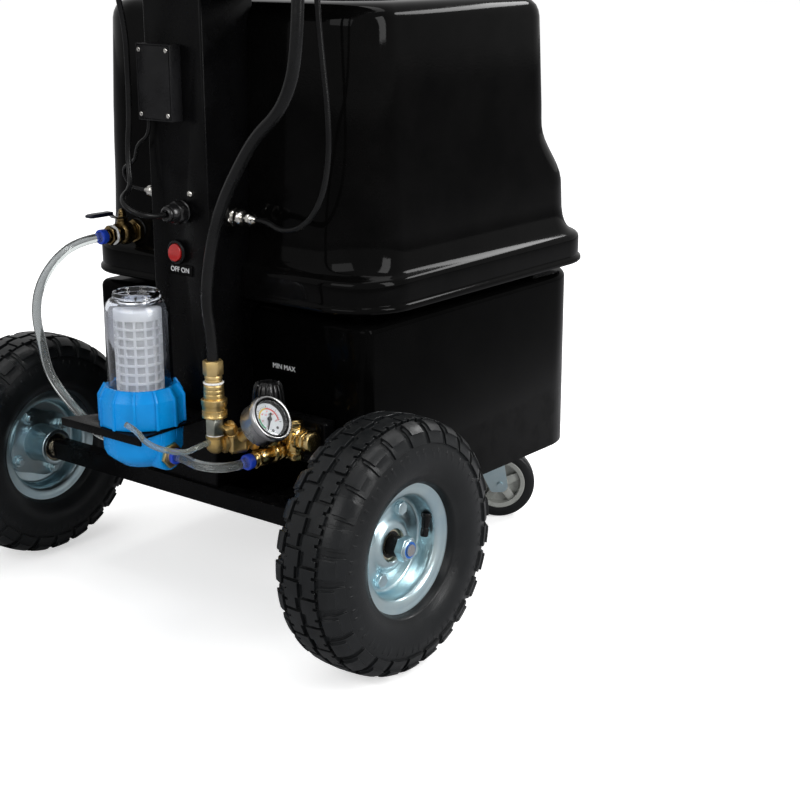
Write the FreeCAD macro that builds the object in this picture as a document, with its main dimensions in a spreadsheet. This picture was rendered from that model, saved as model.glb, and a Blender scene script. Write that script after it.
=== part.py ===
import FreeCAD, Part

import math
import os
import re

import Sketcher

# Mobile misting blower: a black moulded water tank on a low housing, carried by two
# pneumatic wheels and two swivel casters, with its filter, pump fittings and pressure gauge
# on the rear face and a barrel fan above. Millimetres, +Z up, +Y towards the casters.
# Places are measured from the ground point under the middle of the axle, and the whole
# blower is then moved along Y so that the origin is the middle of its footprint.

doc = FreeCAD.newDocument("misting_blower")
sheet = doc.addObject("Spreadsheet::Sheet", "sizes")

SIZES = {
    # Main wheels and axle
    "wheel_radius": 130.0,
    "wheel_half_track": 268.0,
    "tyre_half_width": 42.5,
    "tyre_wall": 9.0,
    "bead_gap": 0.3,
    "rim_flange_radius": 65.0,
    "rim_half_width": 25.0,
    "rim_drum_radius": 50.5,
    "rim_sheet": 2.5,
    "rim_disc_half": 2.0,
    "rim_bolt_circle": 37.0,
    "rim_bolt_radius": 4.0,
    "rim_bolt_head": 7.5,
    "rim_bolt_head_height": 5.5,
    "bolt_hole_gap": 0.2,
    "hub_radius": 21.0,
    "hub_inner_reach": 38.0,
    "hub_outer_reach": 5.0,
    "bearing_radius": 16.0,
    "bearing_width": 10.0,
    "bearing_seat_gap": 0.1,
    "axle_radius": 8.0,
    "axle_thread_radius": 6.0,
    "axle_half_length": 299.0,
    "running_gap": 0.05,
    "spacer_radius": 11.0,
    "axle_spacer_length": 14.0,
    "axle_nut_width": 19.0,
    "axle_nut_height": 11.0,
    "side_gap": 0.3,
    # Chassis
    "beam_size": 20.0,
    "beam_half_length": 224.0,
    "beam_bore_gap": 0.2,
    "rail_offset": 110.0,
    "rail_front": 418.0,
    "cross_half_length": 130.0,
    # Casters
    "caster_offset": 80.0,
    "caster_forward": 408.0,
    "caster_plate_size": 62.0,
    "caster_plate_thickness": 3.0,
    "caster_race_radius": 21.0,
    "caster_race_height": 7.0,
    "caster_wheel_radius": 44.0,
    "caster_core_radius": 34.0,
    "caster_wheel_width": 24.0,
    "caster_trail": 28.0,
    "caster_angle": 38.8,
    "caster_fork_sheet": 3.0,
    "caster_fork_gap": 2.0,
    "caster_fork_width": 34.0,
    "caster_axle_radius": 4.0,
    "caster_hub_radius": 9.0,
    "caster_pocket_depth": 6.0,
    "caster_windows": 5,
    "caster_window_radius": 6.6,
    "caster_window_circle": 19.0,
    # Lower housing
    "housing_half_width": 202.0,
    "housing_back": 51.6,
    "housing_front": 458.0,
    "housing_bottom": 120.0,
    "housing_height": 206.0,
    "housing_front_corner": 70.0,
    "housing_back_corner": 12.0,
    "housing_top_round": 8.0,
    # Tank
    "tank_gap": 12.0,
    "tank_front": 441.0,
    "tank_corner": 48.0,
    "tank_front_corner": 60.0,
    "tank_height": 302.0,
    "tank_step_height": 92.0,
    "tank_step_length": 70.0,
    "tank_step_depth": 40.0,
    "tank_draft": 2.0,
    "tank_top_round": 18.0,
    "tank_foot_radius": 8.0,
    "tank_foot_inset": 48.0,
    "belt_height": 30.0,
    "belt_proud": 12.0,
    "belt_front": 461.0,
    "belt_corner": 62.0,
    "belt_lip": 3.5,
    "belt_lip_height": 5.0,
    "belt_round": 4.0,
    "filler_forward": 280.0,
    "filler_radius": 45.0,
    "filler_wall": 4.0,
    "filler_height": 14.0,
    "cap_gap": 0.4,
    "cap_wall": 4.0,
    "cap_height": 24.0,
    # Column
    "column_half_width": 41.5,
    "column_back": -7.0,
    "column_front": 66.0,
    "column_corner": 3.0,
    "column_gap": 0.3,
    # Blower head
    "drum_radius": 290.0,
    "drum_wall": 2.0,
    "drum_half_depth": 95.0,
    "drum_bead": 8.0,
    "drum_clearance": 42.0,
    "saddle_half_width": 110.0,
    "saddle_half_depth": 36.0,
    "saddle_sheet": 6.0,
    "guard_wire": 2.5,
    "guard_bars": 24,
    "guard_hub_radius": 55.0,
    "guard_middle_radius": 165.0,
    "motor_radius": 68.0,
    "motor_length": 105.0,
    "motor_shaft_radius": 8.0,
    "motor_shaft_reach": 34.0,
    "fan_tip_gap": 12.0,
    "fan_hub_radius": 62.0,
    "fan_hub_length": 44.0,
    "fan_blades": 5,
    "fan_blade_sheet": 3.0,
    "fan_blade_chord": 120.0,
    "fan_blade_pitch": 32.0,
    "mist_ring_radius": 250.0,
    "mist_tube_radius": 4.0,
    "mist_nozzle_radius": 6.0,
    "mist_nozzle_length": 16.0,
    "mist_nozzles": 8,
    "socket_offset": 213.0,
    "socket_back": 50.0,
    "socket_drop": 20.627,
    "socket_radius": 9.0,
    "seat_gap": 0.2,
    "bracket_bar_width": 30.0,
    "bracket_bar_sheet": 4.0,
    # Filter
    "filter_back": 70.0,
    "filter_neck_radius": 30.7,
    "bracket_sheet": 2.5,
    "bracket_top": 222.0,
    "bracket_left": -76.0,
    "bracket_right": 44.0,
    "bracket_lip": 8.5,
    "bracket_reach": 107.0,
    "bracket_back_flange": 22.0,
    "head_radius": 41.0,
    "head_height": 41.5,
    "head_base_radius": 22.0,
    "neck_height": 18.0,
    "port_height": 193.0,
    "port_radius": 12.5,
    "port_reach": 36.0,
    "ring_radius": 45.0,
    "ring_height": 41.0,
    "ring_bore_gap": 0.4,
    "ring_flutes": 12,
    "bowl_radius": 33.0,
    "bowl_wall": 3.0,
    "bowl_height": 122.0,
    "bowl_flange": 38.0,
    "bowl_flange_height": 5.0,
    "bowl_round": 7.0,
    "cartridge_radius": 26.0,
    "cartridge_height": 100.0,
    "cartridge_rings": 9,
    # Push-in tubes and their fittings
    "tube_radius": 5.0,
    "collet_radius": 7.4,
    "collet_length": 6.0,
    "fitting_radius": 8.2,
    "fitting_length": 6.0,
    "bleed_radius": 3.0,
    # Ball valve
    "valve_offset": -128.0,
    "valve_z": 390.0,
    "valve_length": 49.0,
    "valve_ball_radius": 12.0,
    "valve_hex_radius": 10.5,
    "valve_stem_at": 24.0,
    "valve_stem_radius": 3.5,
    "valve_stem_height": 21.0,
    "lever_length": 50.0,
    "lever_width": 9.0,
    "lever_sheet": 2.5,
    "lever_sleeve_length": 38.0,
    # Pump, regulator and outlet
    "pump_left": 98.0,
    "pump_width": 62.0,
    "pump_depth": 17.6,
    "pump_bottom": 176.0,
    "pump_height": 48.0,
    "inlet_at": 112.0,
    "inlet_z": 190.0,
    "inlet_reach": 60.0,
    "relief_z": 207.0,
    "relief_ahead": 20.0,
    "relief_start": 118.0,
    "relief_length": 40.0,
    "relief_radius": 7.5,
    "regulator_at": 113.0,
    "regulator_bottom": 201.5,
    "regulator_height": 37.0,
    "regulator_radius": 12.0,
    "regulator_shaft": 4.0,
    "knob_radius": 17.5,
    "knob_height": 31.0,
    "knob_flutes": 14,
    "knob_flute_radius": 2.0,
    "stack_at": 90.0,
    "stack_back": 54.0,
    "outlet_z": 211.0,
    "outlet_angle": 26.0,
    "outlet_radius": 9.0,
    "outlet_reach": 50.0,
    "block_at": 22.0,
    "block_size": 22.0,
    "plug_radius": 7.0,
    "plug_length": 27.0,
    # Gauge, measured along its own axis from the outlet block's middle
    "gauge_tilt": 34.0,
    "gauge_radius": 20.0,
    "gauge_back": 35.5,
    "gauge_depth": 27.0,
    "gauge_wall": 1.5,
    "gauge_bezel": 22.0,
    "gauge_stem_radius": 5.0,
    "gauge_stem_start": 14.0,
    "gauge_dial_depth": 6.0,
    "gauge_glass": 1.5,
    "needle_length": 14.0,
    # Hose coupler
    "adapter_radius": 9.2,
    "adapter_height": 17.0,
    "coupler_radius": 9.6,
    "coupler_height": 38.0,
    "sleeve_radius": 13.0,
    "sleeve_height": 19.5,
    "sleeve_travel": 4.0,
    "nut_width": 18.0,
    "nut_height": 16.0,
    "nut_neck_height": 7.0,
    "hose_radius": 6.0,
    # Switch, glands and control box
    "switch_z": 388.6,
    "switch_offset": -5.0,
    "switch_bezel_radius": 12.5,
    "switch_lens_radius": 9.2,
    "rocker_tilt": 8.0,
    "switch_proud": 3.0,
    "gland_offset": 7.0,
    "gland_z": 432.0,
    "gland_radius": 12.0,
    "gland_length": 26.0,
    "side_gland_radius": 9.0,
    "side_gland_length": 36.0,
    "left_gland_length": 18.0,
    "cable_radius": 3.0,
    "thin_cable_radius": 2.0,
    "box_left": -37.0,
    "box_width": 49.0,
    "box_depth": 15.0,
    "box_bottom": 524.0,
    "box_height": 76.0,
}

for row, (alias, number) in enumerate(SIZES.items(), start=1):
    sheet.set("A%d" % row, alias)
    sheet.set("B%d" % row, str(number))
    sheet.setAlias("B%d" % row, alias)
doc.recompute()

# The origin is the middle of the footprint, between the tyres' backs and the belt's front.
AXLE_Y = "((wheel_radius - belt_front - belt_lip) / 2)"
FUNCTIONS = ("sqrt", "sin", "cos", "tan")
WORD = re.compile(r"[a-z_][a-z0-9_]*")
TURNS = {
    "Z": FreeCAD.Rotation(),
    "-Z": FreeCAD.Rotation(FreeCAD.Vector(1, 0, 0), 180),
    "X": FreeCAD.Rotation(FreeCAD.Vector(0, 1, 0), 90),
    "-X": FreeCAD.Rotation(FreeCAD.Vector(0, 1, 0), -90),
    "Y": FreeCAD.Rotation(FreeCAD.Vector(1, 0, 0), -90),
    "-Y": FreeCAD.Rotation(FreeCAD.Vector(1, 0, 0), 90),
}
NEAR = 1e-4
subparts = []


def size(alias):
    """One size of the sheet as a number."""
    return float(sheet.get(alias))


def formula(text):
    """A formula of size names, written as the document's own expression."""
    return WORD.sub(lambda word: word.group() if word.group() in FUNCTIONS
                    else "sizes." + word.group(), str(text))


def tie(thing, prop, text):
    thing.setExpression(prop, formula(text))


def put(thing, place, turn="Z"):
    """Place an object, with its own Z axis turned to the named direction."""
    rotation = TURNS[turn] if isinstance(turn, str) else turn
    thing.Placement = FreeCAD.Placement(FreeCAD.Vector(), rotation)
    tie(thing, "Placement.Base.x", place[0])
    tie(thing, "Placement.Base.y", "%s + %s" % (place[1], AXLE_Y))
    tie(thing, "Placement.Base.z", place[2])
    return thing


def keep(thing, node):
    """Name a finished sub-part, so that it gets a file of its own."""
    thing.Label = node
    subparts.append(thing)
    return thing


def outline(body, name, plane, corners):
    """A closed sketch on one of the body's planes, each corner tied to the sizes."""
    sketch = body.newObject("Sketcher::SketchObject", name)
    planes = [feature for feature in body.Origin.OriginFeatures if feature.Role == plane]
    sketch.AttachmentSupport = [(planes[0], "")]
    sketch.MapMode = "FlatFace"
    count = len(corners)
    guess = [FreeCAD.Vector(10 * math.cos(math.tau * k / count), 10 * math.sin(math.tau * k / count), 0)
             for k in range(count)]
    for k in range(count):
        sketch.addGeometry(Part.LineSegment(guess[k], guess[(k + 1) % count]), False)
    for k in range(count):
        sketch.addConstraint(Sketcher.Constraint("Coincident", k, 2, (k + 1) % count, 1))
    for k, corner in enumerate(corners):
        for kind, text, start in (("DistanceX", corner[0], guess[k].x),
                                  ("DistanceY", corner[1], guess[k].y)):
            number = sketch.addConstraint(Sketcher.Constraint(kind, -1, 1, k, 1, start))
            tie(sketch, "Constraints[%d]" % number, text)
    doc.recompute()
    return sketch


def round_edges(body, feature, names, text):
    """A fillet on named edges or faces, with its radius tied to the sizes."""
    fillet = body.newObject("PartDesign::Fillet", body.Name + "_round")
    fillet.Base = (feature, names)
    fillet.Radius = 0.5
    tie(fillet, "Radius", text)
    doc.recompute()
    return fillet


def round_corners(body, sketch, feature, corners, on_corner):
    """Fillet the edges that the marked corners of a sketch made, one radius at a time."""
    marked = {}
    for corner, line in zip(corners, sketch.Geometry):
        if len(corner) > 2:
            marked.setdefault(corner[2], []).append(line.StartPoint)
    for text, points in marked.items():
        names = ["Edge%d" % (k + 1) for k, edge in enumerate(feature.Shape.Edges)
                 if any(on_corner(edge, point) for point in points)]
        feature = round_edges(body, feature, names, text)
    return feature


def is_turned_edge(edge, point):
    """True for the circle that a sketch corner at (radius, height) turned."""
    curve = edge.Curve
    return (isinstance(curve, Part.Circle) and abs(curve.Radius - point.x) < NEAR
            and abs(curve.Center.z - point.y) < NEAR and math.hypot(curve.Center.x,
                                                                    curve.Center.y) < NEAR)


def is_upright_edge(edge, point):
    """True for the upright edge that a sketch corner at (x, y) raised."""
    ends = [vertex.Point for vertex in edge.Vertexes]
    return (len(ends) == 2 and abs(ends[0].z - ends[1].z) > NEAR
            and all(math.hypot(end.x - point.x, end.y - point.y) < NEAR for end in ends))


def turned(name, corners, place, turn="Z"):
    """A body turned about its Z axis; a corner is (radius, height) or (radius, height, rounding)."""
    body = doc.addObject("PartDesign::Body", name)
    sketch = outline(body, name + "_profile", "XZ_Plane", corners)
    feature = body.newObject("PartDesign::Revolution", name + "_turn")
    feature.Profile = sketch
    feature.ReferenceAxis = (sketch, ["V_Axis"])
    feature.Angle = 360
    doc.recompute()
    round_corners(body, sketch, feature, corners, is_turned_edge)
    return put(body, place, turn)


def raised(name, corners, height, place, turn="Z", top_round=None):
    """A body raised from an outline; a corner is (x, y) or (x, y, rounding)."""
    body = doc.addObject("PartDesign::Body", name)
    sketch = outline(body, name + "_outline", "XY_Plane", corners)
    feature = body.newObject("PartDesign::Pad", name + "_pad")
    feature.Profile = sketch
    tie(feature, "Length", height)
    doc.recompute()
    feature = round_corners(body, sketch, feature, corners, is_upright_edge)
    if top_round:
        top = max(range(len(feature.Shape.Faces)), key=lambda k: feature.Shape.Faces[k].CenterOfMass.z)
        round_edges(body, feature, ["Face%d" % (top + 1)], top_round)
    return put(body, place, turn)


def block(name, lengths, place, turn="Z"):
    """A box from its low corner."""
    thing = doc.addObject("Part::Box", name)
    for prop, text in zip(("Length", "Width", "Height"), lengths):
        tie(thing, prop, text)
    return put(thing, place, turn)


def rod(name, radius, length, place, turn="Z"):
    thing = doc.addObject("Part::Cylinder", name)
    tie(thing, "Radius", radius)
    tie(thing, "Height", length)
    return put(thing, place, turn)


def prism(name, sides, width, length, place, turn="Z"):
    """A regular prism, its width measured across flats."""
    thing = doc.addObject("Part::Prism", name)
    thing.Polygon = sides
    tie(thing, "Circumradius", "(%s) / 2 / cos(180 / %d)" % (width, sides))
    tie(thing, "Height", length)
    return put(thing, place, turn)


def fused(name, pieces):
    thing = doc.addObject("Part::MultiFuse", name)
    thing.Shapes = pieces
    thing.Refine = True
    return thing


def group(name, pieces):
    """Separate solids that share one node."""
    thing = doc.addObject("Part::Compound", name)
    thing.Links = pieces
    return thing


def cut(name, base, tools):
    thing = doc.addObject("Part::Cut", name)
    thing.Base = base
    thing.Tool = tools[0] if len(tools) == 1 else fused(name + "_tools", tools)
    thing.Refine = True
    return thing


def aimed(turn, around, degrees):
    """A direction turned further about a world axis."""
    return FreeCAD.Rotation(FreeCAD.Vector(*around), degrees).multiply(TURNS[turn])


def set_down(shape, name):
    """A shape made by Part's own functions, as a feature of the document."""
    thing = doc.addObject("Part::Feature", name)
    thing.Shape = shape
    return put(thing, ("0", "0", "0"))


def tube(name, points, radius):
    """A round cord along straight runs joined by tangent arcs, each as large as its runs allow."""
    spots = [FreeCAD.Vector(*point) for point in points]
    edges = []
    start = spots[0]
    radii = []
    for before, spot, after in zip(spots, spots[1:], spots[2:]):
        into = (spot - before).normalize()
        out = (after - spot).normalize()
        turn = into.getAngle(out)
        reach = 0.45 * min((spot - before).Length, (after - spot).Length)
        arc_radius = reach / math.tan(turn / 2)
        radii.append(arc_radius)
        first = spot - into * reach
        last = spot + out * reach
        middle = spot + (out - into).normalize() * (arc_radius / math.cos(turn / 2) - arc_radius)
        edges.append(Part.LineSegment(start, first).toShape())
        edges.append(Part.Arc(first, middle, last).toShape())
        start = last
    edges.append(Part.LineSegment(start, spots[-1]).toShape())
    path = Part.Wire(edges)
    ring = Part.Wire(Part.makeCircle(radius, spots[0], spots[1] - spots[0]))
    solid = path.makePipeShell([ring], True, False)
    ratio = solid.Volume / (math.pi * radius ** 2 * path.Length)
    print("%s: length %.1f, tightest radius %.1f (%.1f diameters), volume ratio %.4f"
          % (name, path.Length, min(radii), min(radii) / radius / 2, ratio))
    return set_down(solid, name)


# Axle, bearings, rims and tyres

def axle():
    core = rod("axle_core", "axle_radius", "2 * (wheel_half_track + hub_outer_reach)",
               ("-wheel_half_track - hub_outer_reach", "0", "wheel_radius"), "X")
    thread = rod("axle_thread", "axle_thread_radius", "2 * axle_half_length",
                 ("-axle_half_length", "0", "wheel_radius"), "X")
    keep(fused("axle_solid", [core, thread]), "axle")


def axle_nuts():
    pieces = []
    for side, turn in (("right", "X"), ("left", "-X")):
        sign = "" if side == "right" else "-"
        seat = "wheel_half_track + hub_outer_reach + side_gap"
        spacer = rod(side + "_spacer", "spacer_radius", "axle_spacer_length",
                     ("%s(%s)" % (sign, seat), "0", "wheel_radius"), turn)
        nut = prism(side + "_nut", 6, "axle_nut_width", "axle_nut_height",
                    ("%s(%s + axle_spacer_length)" % (sign, seat), "0", "wheel_radius"), turn)
        bore = rod(side + "_nut_bore", "axle_thread_radius + running_gap", "axle_half_length",
                   ("%s(%s)" % (sign, seat), "0", "wheel_radius"), turn)
        pieces.append(cut(side + "_axle_nut", fused(side + "_nut_stack", [spacer, nut]), [bore]))
    keep(group("axle_nut_group", pieces), "axle_nuts")


def wheel(side, turn):
    place = ("%swheel_half_track" % ("" if turn == "X" else "-"), "0", "wheel_radius")
    lip = "rim_half_width - rim_sheet"
    half = [("rim_drum_radius", "rim_half_width - 8"), ("rim_drum_radius + 3", "rim_half_width - 4"),
            ("rim_flange_radius", lip), ("rim_flange_radius", "rim_half_width"),
            ("rim_flange_radius - 4", "rim_half_width"),
            ("rim_drum_radius - rim_sheet", "rim_half_width - 6"),
            ("rim_drum_radius - rim_sheet", "rim_disc_half", "4"), ("hub_radius", "rim_disc_half", "2"),
            ("hub_radius", "hub_outer_reach"), ("bearing_radius", "hub_outer_reach")]
    back = [("bearing_radius", "-hub_inner_reach"), ("hub_radius", "-hub_inner_reach"),
            ("hub_radius", "-rim_disc_half", "2"), ("rim_drum_radius - rim_sheet", "-rim_disc_half", "4"),
            ("rim_drum_radius - rim_sheet", "-rim_half_width + 6"),
            ("rim_flange_radius - 4", "-rim_half_width"), ("rim_flange_radius", "-rim_half_width"),
            ("rim_flange_radius", "-rim_half_width + rim_sheet"),
            ("rim_drum_radius + 3", "-rim_half_width + 4"), ("rim_drum_radius", "-rim_half_width + 8")]
    dish = turned(side + "_rim_body", half + back, place, turn)
    holes = []
    bolts = []
    for k in range(4):
        angle = 65 + 90 * k
        spot = (place[0], "rim_bolt_circle * cos(%d)" % angle,
                "wheel_radius + rim_bolt_circle * sin(%d)" % angle)
        low = "%s(%s)" % ("-" if turn == "X" else "+", "rim_disc_half + rim_bolt_head_height")
        holes.append(rod("%s_rim_hole_%d" % (side, k), "rim_bolt_radius + bolt_hole_gap",
                         "6 * rim_disc_half",
                         ("%s %s 3 * rim_disc_half" % (spot[0], "-" if turn == "X" else "+"), spot[1],
                          spot[2]),
                         turn))
        shank = rod("%s_rim_shank_%d" % (side, k), "rim_bolt_radius",
                    "2 * (rim_disc_half + rim_bolt_head_height)",
                    ("%s %s" % (spot[0], low), spot[1], spot[2]), turn)
        nut = prism("%s_rim_nut_%d" % (side, k), 6, "2 * rim_bolt_head - 2", "rim_bolt_head_height",
                    ("%s %s" % (spot[0], low), spot[1], spot[2]), turn)
        head = prism("%s_rim_head_%d" % (side, k), 6, "2 * rim_bolt_head - 2", "rim_bolt_head_height",
                     ("%s %s rim_disc_half" % (spot[0], "+" if turn == "X" else "-"), spot[1], spot[2]),
                     turn)
        bolts.append(fused("%s_rim_bolt_%d" % (side, k), [shank, nut, head]))
    keep(cut(side + "_rim_cut", dish, holes), side + "_rim")
    keep(group(side + "_bolt_group", bolts), side + "_rim_bolts")
    race = [("axle_radius + running_gap", "0"), ("bearing_radius - bearing_seat_gap", "0"),
            ("bearing_radius - bearing_seat_gap", "bearing_width"),
            ("bearing_radius - 3", "bearing_width"),
            ("bearing_radius - 3", "bearing_width - 1"), ("axle_radius + 2.5", "bearing_width - 1"),
            ("axle_radius + 2.5", "bearing_width"), ("axle_radius + running_gap", "bearing_width")]
    sign = "" if turn == "X" else "-"
    outer = turned(side + "_outer_race", race,
                   ("%s(wheel_half_track + hub_outer_reach - bearing_width)" % sign, "0",
                    "wheel_radius"), turn)
    inner = turned(side + "_inner_race", race,
                   ("%s(wheel_half_track - hub_inner_reach + bearing_width)" % sign, "0", "wheel_radius"),
                   "-X" if turn == "X" else "X")
    keep(group(side + "_bearing_pair", [outer, inner]), side + "_bearings")
    tyre_half = [("rim_drum_radius + bead_gap", "tyre_wall"),
                 ("rim_drum_radius + bead_gap", "rim_half_width - 8.5"),
                 ("rim_flange_radius + bead_gap", "rim_half_width - rim_sheet - bead_gap - 0.2"),
                 ("rim_flange_radius + 12", "tyre_half_width - 7"),
                 ("wheel_radius - 34", "tyre_half_width"),
                 ("wheel_radius - 12", "tyre_half_width - 3"),
                 ("wheel_radius - 3", "tyre_half_width - 12"),
                 ("wheel_radius", "tyre_half_width - 26")]
    inner_half = [("wheel_radius - 1.4 * tyre_wall", "tyre_half_width - 1.6 * tyre_wall"),
                  ("wheel_radius - 36", "tyre_half_width - tyre_wall")]
    mirror = [(radius, "-(%s)" % height) for radius, height in tyre_half]
    inner_mirror = [(radius, "-(%s)" % height) for radius, height in inner_half]
    profile = tyre_half + mirror[::-1] + inner_mirror[::-1] + inner_half
    keep(turned(side + "_tyre_body", profile, place, turn), side + "_tyre")


# Chassis: a square axle beam, two rails and a front cross member under the housing

def chassis():
    low = "wheel_radius - beam_size / 2"
    beam = block("beam", ("2 * beam_half_length", "beam_size", "beam_size"),
                 ("-beam_half_length", "-beam_size / 2", low))
    rails = [block("rail_%d" % k, ("beam_size", "rail_front - beam_size / 2", "beam_size"),
                   ("%srail_offset - beam_size / 2" % sign, "beam_size / 2", low))
             for k, sign in enumerate(("-", ""))]
    cross = block("cross_member", ("2 * cross_half_length", "beam_size", "beam_size"),
                  ("-cross_half_length", "rail_front - beam_size", low))
    bore = rod("beam_bore", "axle_radius + beam_bore_gap", "2 * beam_half_length",
               ("-beam_half_length", "0", "wheel_radius"), "X")
    keep(cut("frame_cut", fused("frame_bars", [beam, cross] + rails), [bore]), "chassis_frame")


# Casters: fixed plates, swivelling forks and spoked wheels with rubber treads

PLATE_LOW = "(wheel_radius - beam_size / 2 - caster_plate_thickness)"


def caster_plates():
    plates = [block("caster_plate_%d" % k, ("caster_plate_size", "caster_plate_size",
                                            "caster_plate_thickness"),
                    ("%scaster_offset - caster_plate_size / 2" % sign,
                     "caster_forward - caster_plate_size / 2", PLATE_LOW))
              for k, sign in enumerate(("", "-"))]
    keep(group("caster_plate_group", plates), "caster_plates")


def caster(side, sign):
    """A fork and wheel drawn with its trail along +X, then swung about its swivel."""
    width = "caster_wheel_width / 2 + caster_fork_gap"
    swivel = ("%scaster_offset" % sign, "caster_forward", "0")
    swing = FreeCAD.Rotation(FreeCAD.Vector(0, 0, 1), size("caster_angle"))
    top = "%s - side_gap - caster_race_height" % PLATE_LOW
    crown_low = "%s - caster_fork_sheet" % top
    race = rod(side + "_caster_race", "caster_race_radius", "caster_race_height", ("0", "0", top))
    crown = block(side + "_caster_crown",
                  ("caster_trail + caster_race_radius - 4", "2 * (%s + caster_fork_sheet)" % width,
                   "caster_fork_sheet"),
                  ("-caster_race_radius + 4", "-(%s) - caster_fork_sheet" % width, crown_low))
    legs = []
    for name, at in (("near", "-(%s) - caster_fork_sheet" % width), ("far", width)):
        leg_outline = [("-caster_race_radius + 4", crown_low),
                       ("caster_trail - 11", "caster_wheel_radius - 9", "5"),
                       ("caster_trail + 11", "caster_wheel_radius - 9", "8"), ("caster_trail", crown_low)]
        leg = raised("%s_caster_%s_leg" % (side, name), leg_outline, "caster_fork_sheet",
                     ("0", "%s + caster_fork_sheet" % at, "0"), "-Y")
        legs.append(leg)
    bolt = rod(side + "_caster_bolt", "caster_axle_radius", "2 * (%s + caster_fork_sheet + 4)" % width,
               ("caster_trail", "-(%s) - caster_fork_sheet - 4" % width, "caster_wheel_radius"), "Y")
    hub_place = ("caster_trail", "-caster_wheel_width / 2", "caster_wheel_radius")
    bore = ("caster_axle_radius + running_gap")
    core_profile = [(bore, "0"), ("caster_hub_radius", "0", "1"),
                    ("caster_hub_radius + 2", "caster_pocket_depth", "1"),
                    ("caster_core_radius - 7", "caster_pocket_depth", "1"),
                    ("caster_core_radius - 4", "1"),
                    ("caster_core_radius", "1"), ("caster_core_radius", "caster_wheel_width - 1"),
                    ("caster_core_radius - 4", "caster_wheel_width - 1"),
                    ("caster_core_radius - 7", "caster_wheel_width - caster_pocket_depth", "1"),
                    ("caster_hub_radius + 2", "caster_wheel_width - caster_pocket_depth", "1"),
                    ("caster_hub_radius", "caster_wheel_width", "1"), (bore, "caster_wheel_width")]
    solid_core = turned(side + "_caster_core", core_profile, hub_place, "Y")
    windows = []
    for k in range(int(size("caster_windows"))):
        angle = 360.0 * k / size("caster_windows") + 20
        windows.append(rod("%s_caster_window_%d" % (side, k), "caster_window_radius",
                           "caster_wheel_width + 2",
                           ("caster_trail + caster_window_circle * cos(%s)" % angle,
                            "-caster_wheel_width / 2 - 1",
                            "caster_wheel_radius + caster_window_circle * sin(%s)" % angle), "Y"))
    core = cut(side + "_caster_core_cut", solid_core, windows)
    tread_profile = [("caster_core_radius + 0.1", "1"), ("caster_wheel_radius - 5", "1"),
                     ("caster_wheel_radius", "6", "3"), ("caster_wheel_radius", "caster_wheel_width - 6",
                                                         "3"),
                     ("caster_wheel_radius - 5", "caster_wheel_width - 1"),
                     ("caster_core_radius + 0.1", "caster_wheel_width - 1")]
    tread = turned(side + "_caster_tyre", tread_profile, hub_place, "Y")
    fork = fused(side + "_fork_solid", [race, crown, bolt] + legs)
    for thing, node in ((fork, "fork"), (core, "wheel"), (tread, "tread")):
        swung = group("%s_caster_%s_swung" % (side, node), [thing])
        swung.Placement = FreeCAD.Placement(FreeCAD.Vector(), swing)
        # The piece was drawn from the axle's own frame, so the swing goes about that point.
        tie(swung, "Placement.Base.x", "%s + sin(caster_angle) * %s" % (swivel[0], AXLE_Y))
        tie(swung, "Placement.Base.y", "%s + (1 - cos(caster_angle)) * %s" % (swivel[1], AXLE_Y))
        keep(swung, "%s_caster_%s" % (side, node))


# Lower housing and tank

def rounded_box(name, half_width, back, front, low, height, back_corner, front_corner, top_round=None):
    corners = [("-(%s)" % half_width, back, back_corner), (half_width, back, back_corner),
               (half_width, front, front_corner), ("-(%s)" % half_width, front, front_corner)]
    return raised(name, corners, height, ("0", "0", low), top_round=top_round)


def lower_housing():
    shell = rounded_box("housing_block", "housing_half_width", "housing_back", "housing_front",
                        "housing_bottom", "housing_height", "housing_back_corner", "housing_front_corner",
                        "housing_top_round")
    recess = block("housing_recess", ("300", "380", "beam_size + 0.3"),
                   ("-150", "housing_back - 1", "housing_bottom"))
    slot = block("housing_slot", ("2 * (column_half_width + column_gap)",
                                  "column_front - housing_back + column_gap + 1",
                                  "housing_height"),
                 ("-column_half_width - column_gap", "housing_back - 1", "housing_bottom"))
    keep(cut("housing_cut", shell, [recess, slot]), "lower_housing")


def tank_section(z, half_width, back, front, back_corner, front_corner):
    """One rounded outline of the tank at a height."""
    marks = [(-half_width, back, back_corner, 1, 1), (half_width, back, back_corner, -1, 1),
             (half_width, front, front_corner, -1, -1), (-half_width, front, front_corner, 1, -1)]
    edges = []
    spots = []
    for x, y, radius, right, ahead in marks:
        centre = FreeCAD.Vector(x + right * radius, y + ahead * radius, z)
        on_side = FreeCAD.Vector(x, centre.y, z)
        on_face = FreeCAD.Vector(centre.x, y, z)
        middle = centre - FreeCAD.Vector(right, ahead, 0) * (radius / math.sqrt(2))
        spots.append((on_side, middle, on_face) if right == ahead else (on_face, middle, on_side))
    for k, (first, middle, last) in enumerate(spots):
        edges.append(Part.Arc(first, middle, last).toShape())
        edges.append(Part.LineSegment(last, spots[(k + 1) % 4][0]).toShape())
    return Part.Wire(edges)


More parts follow.
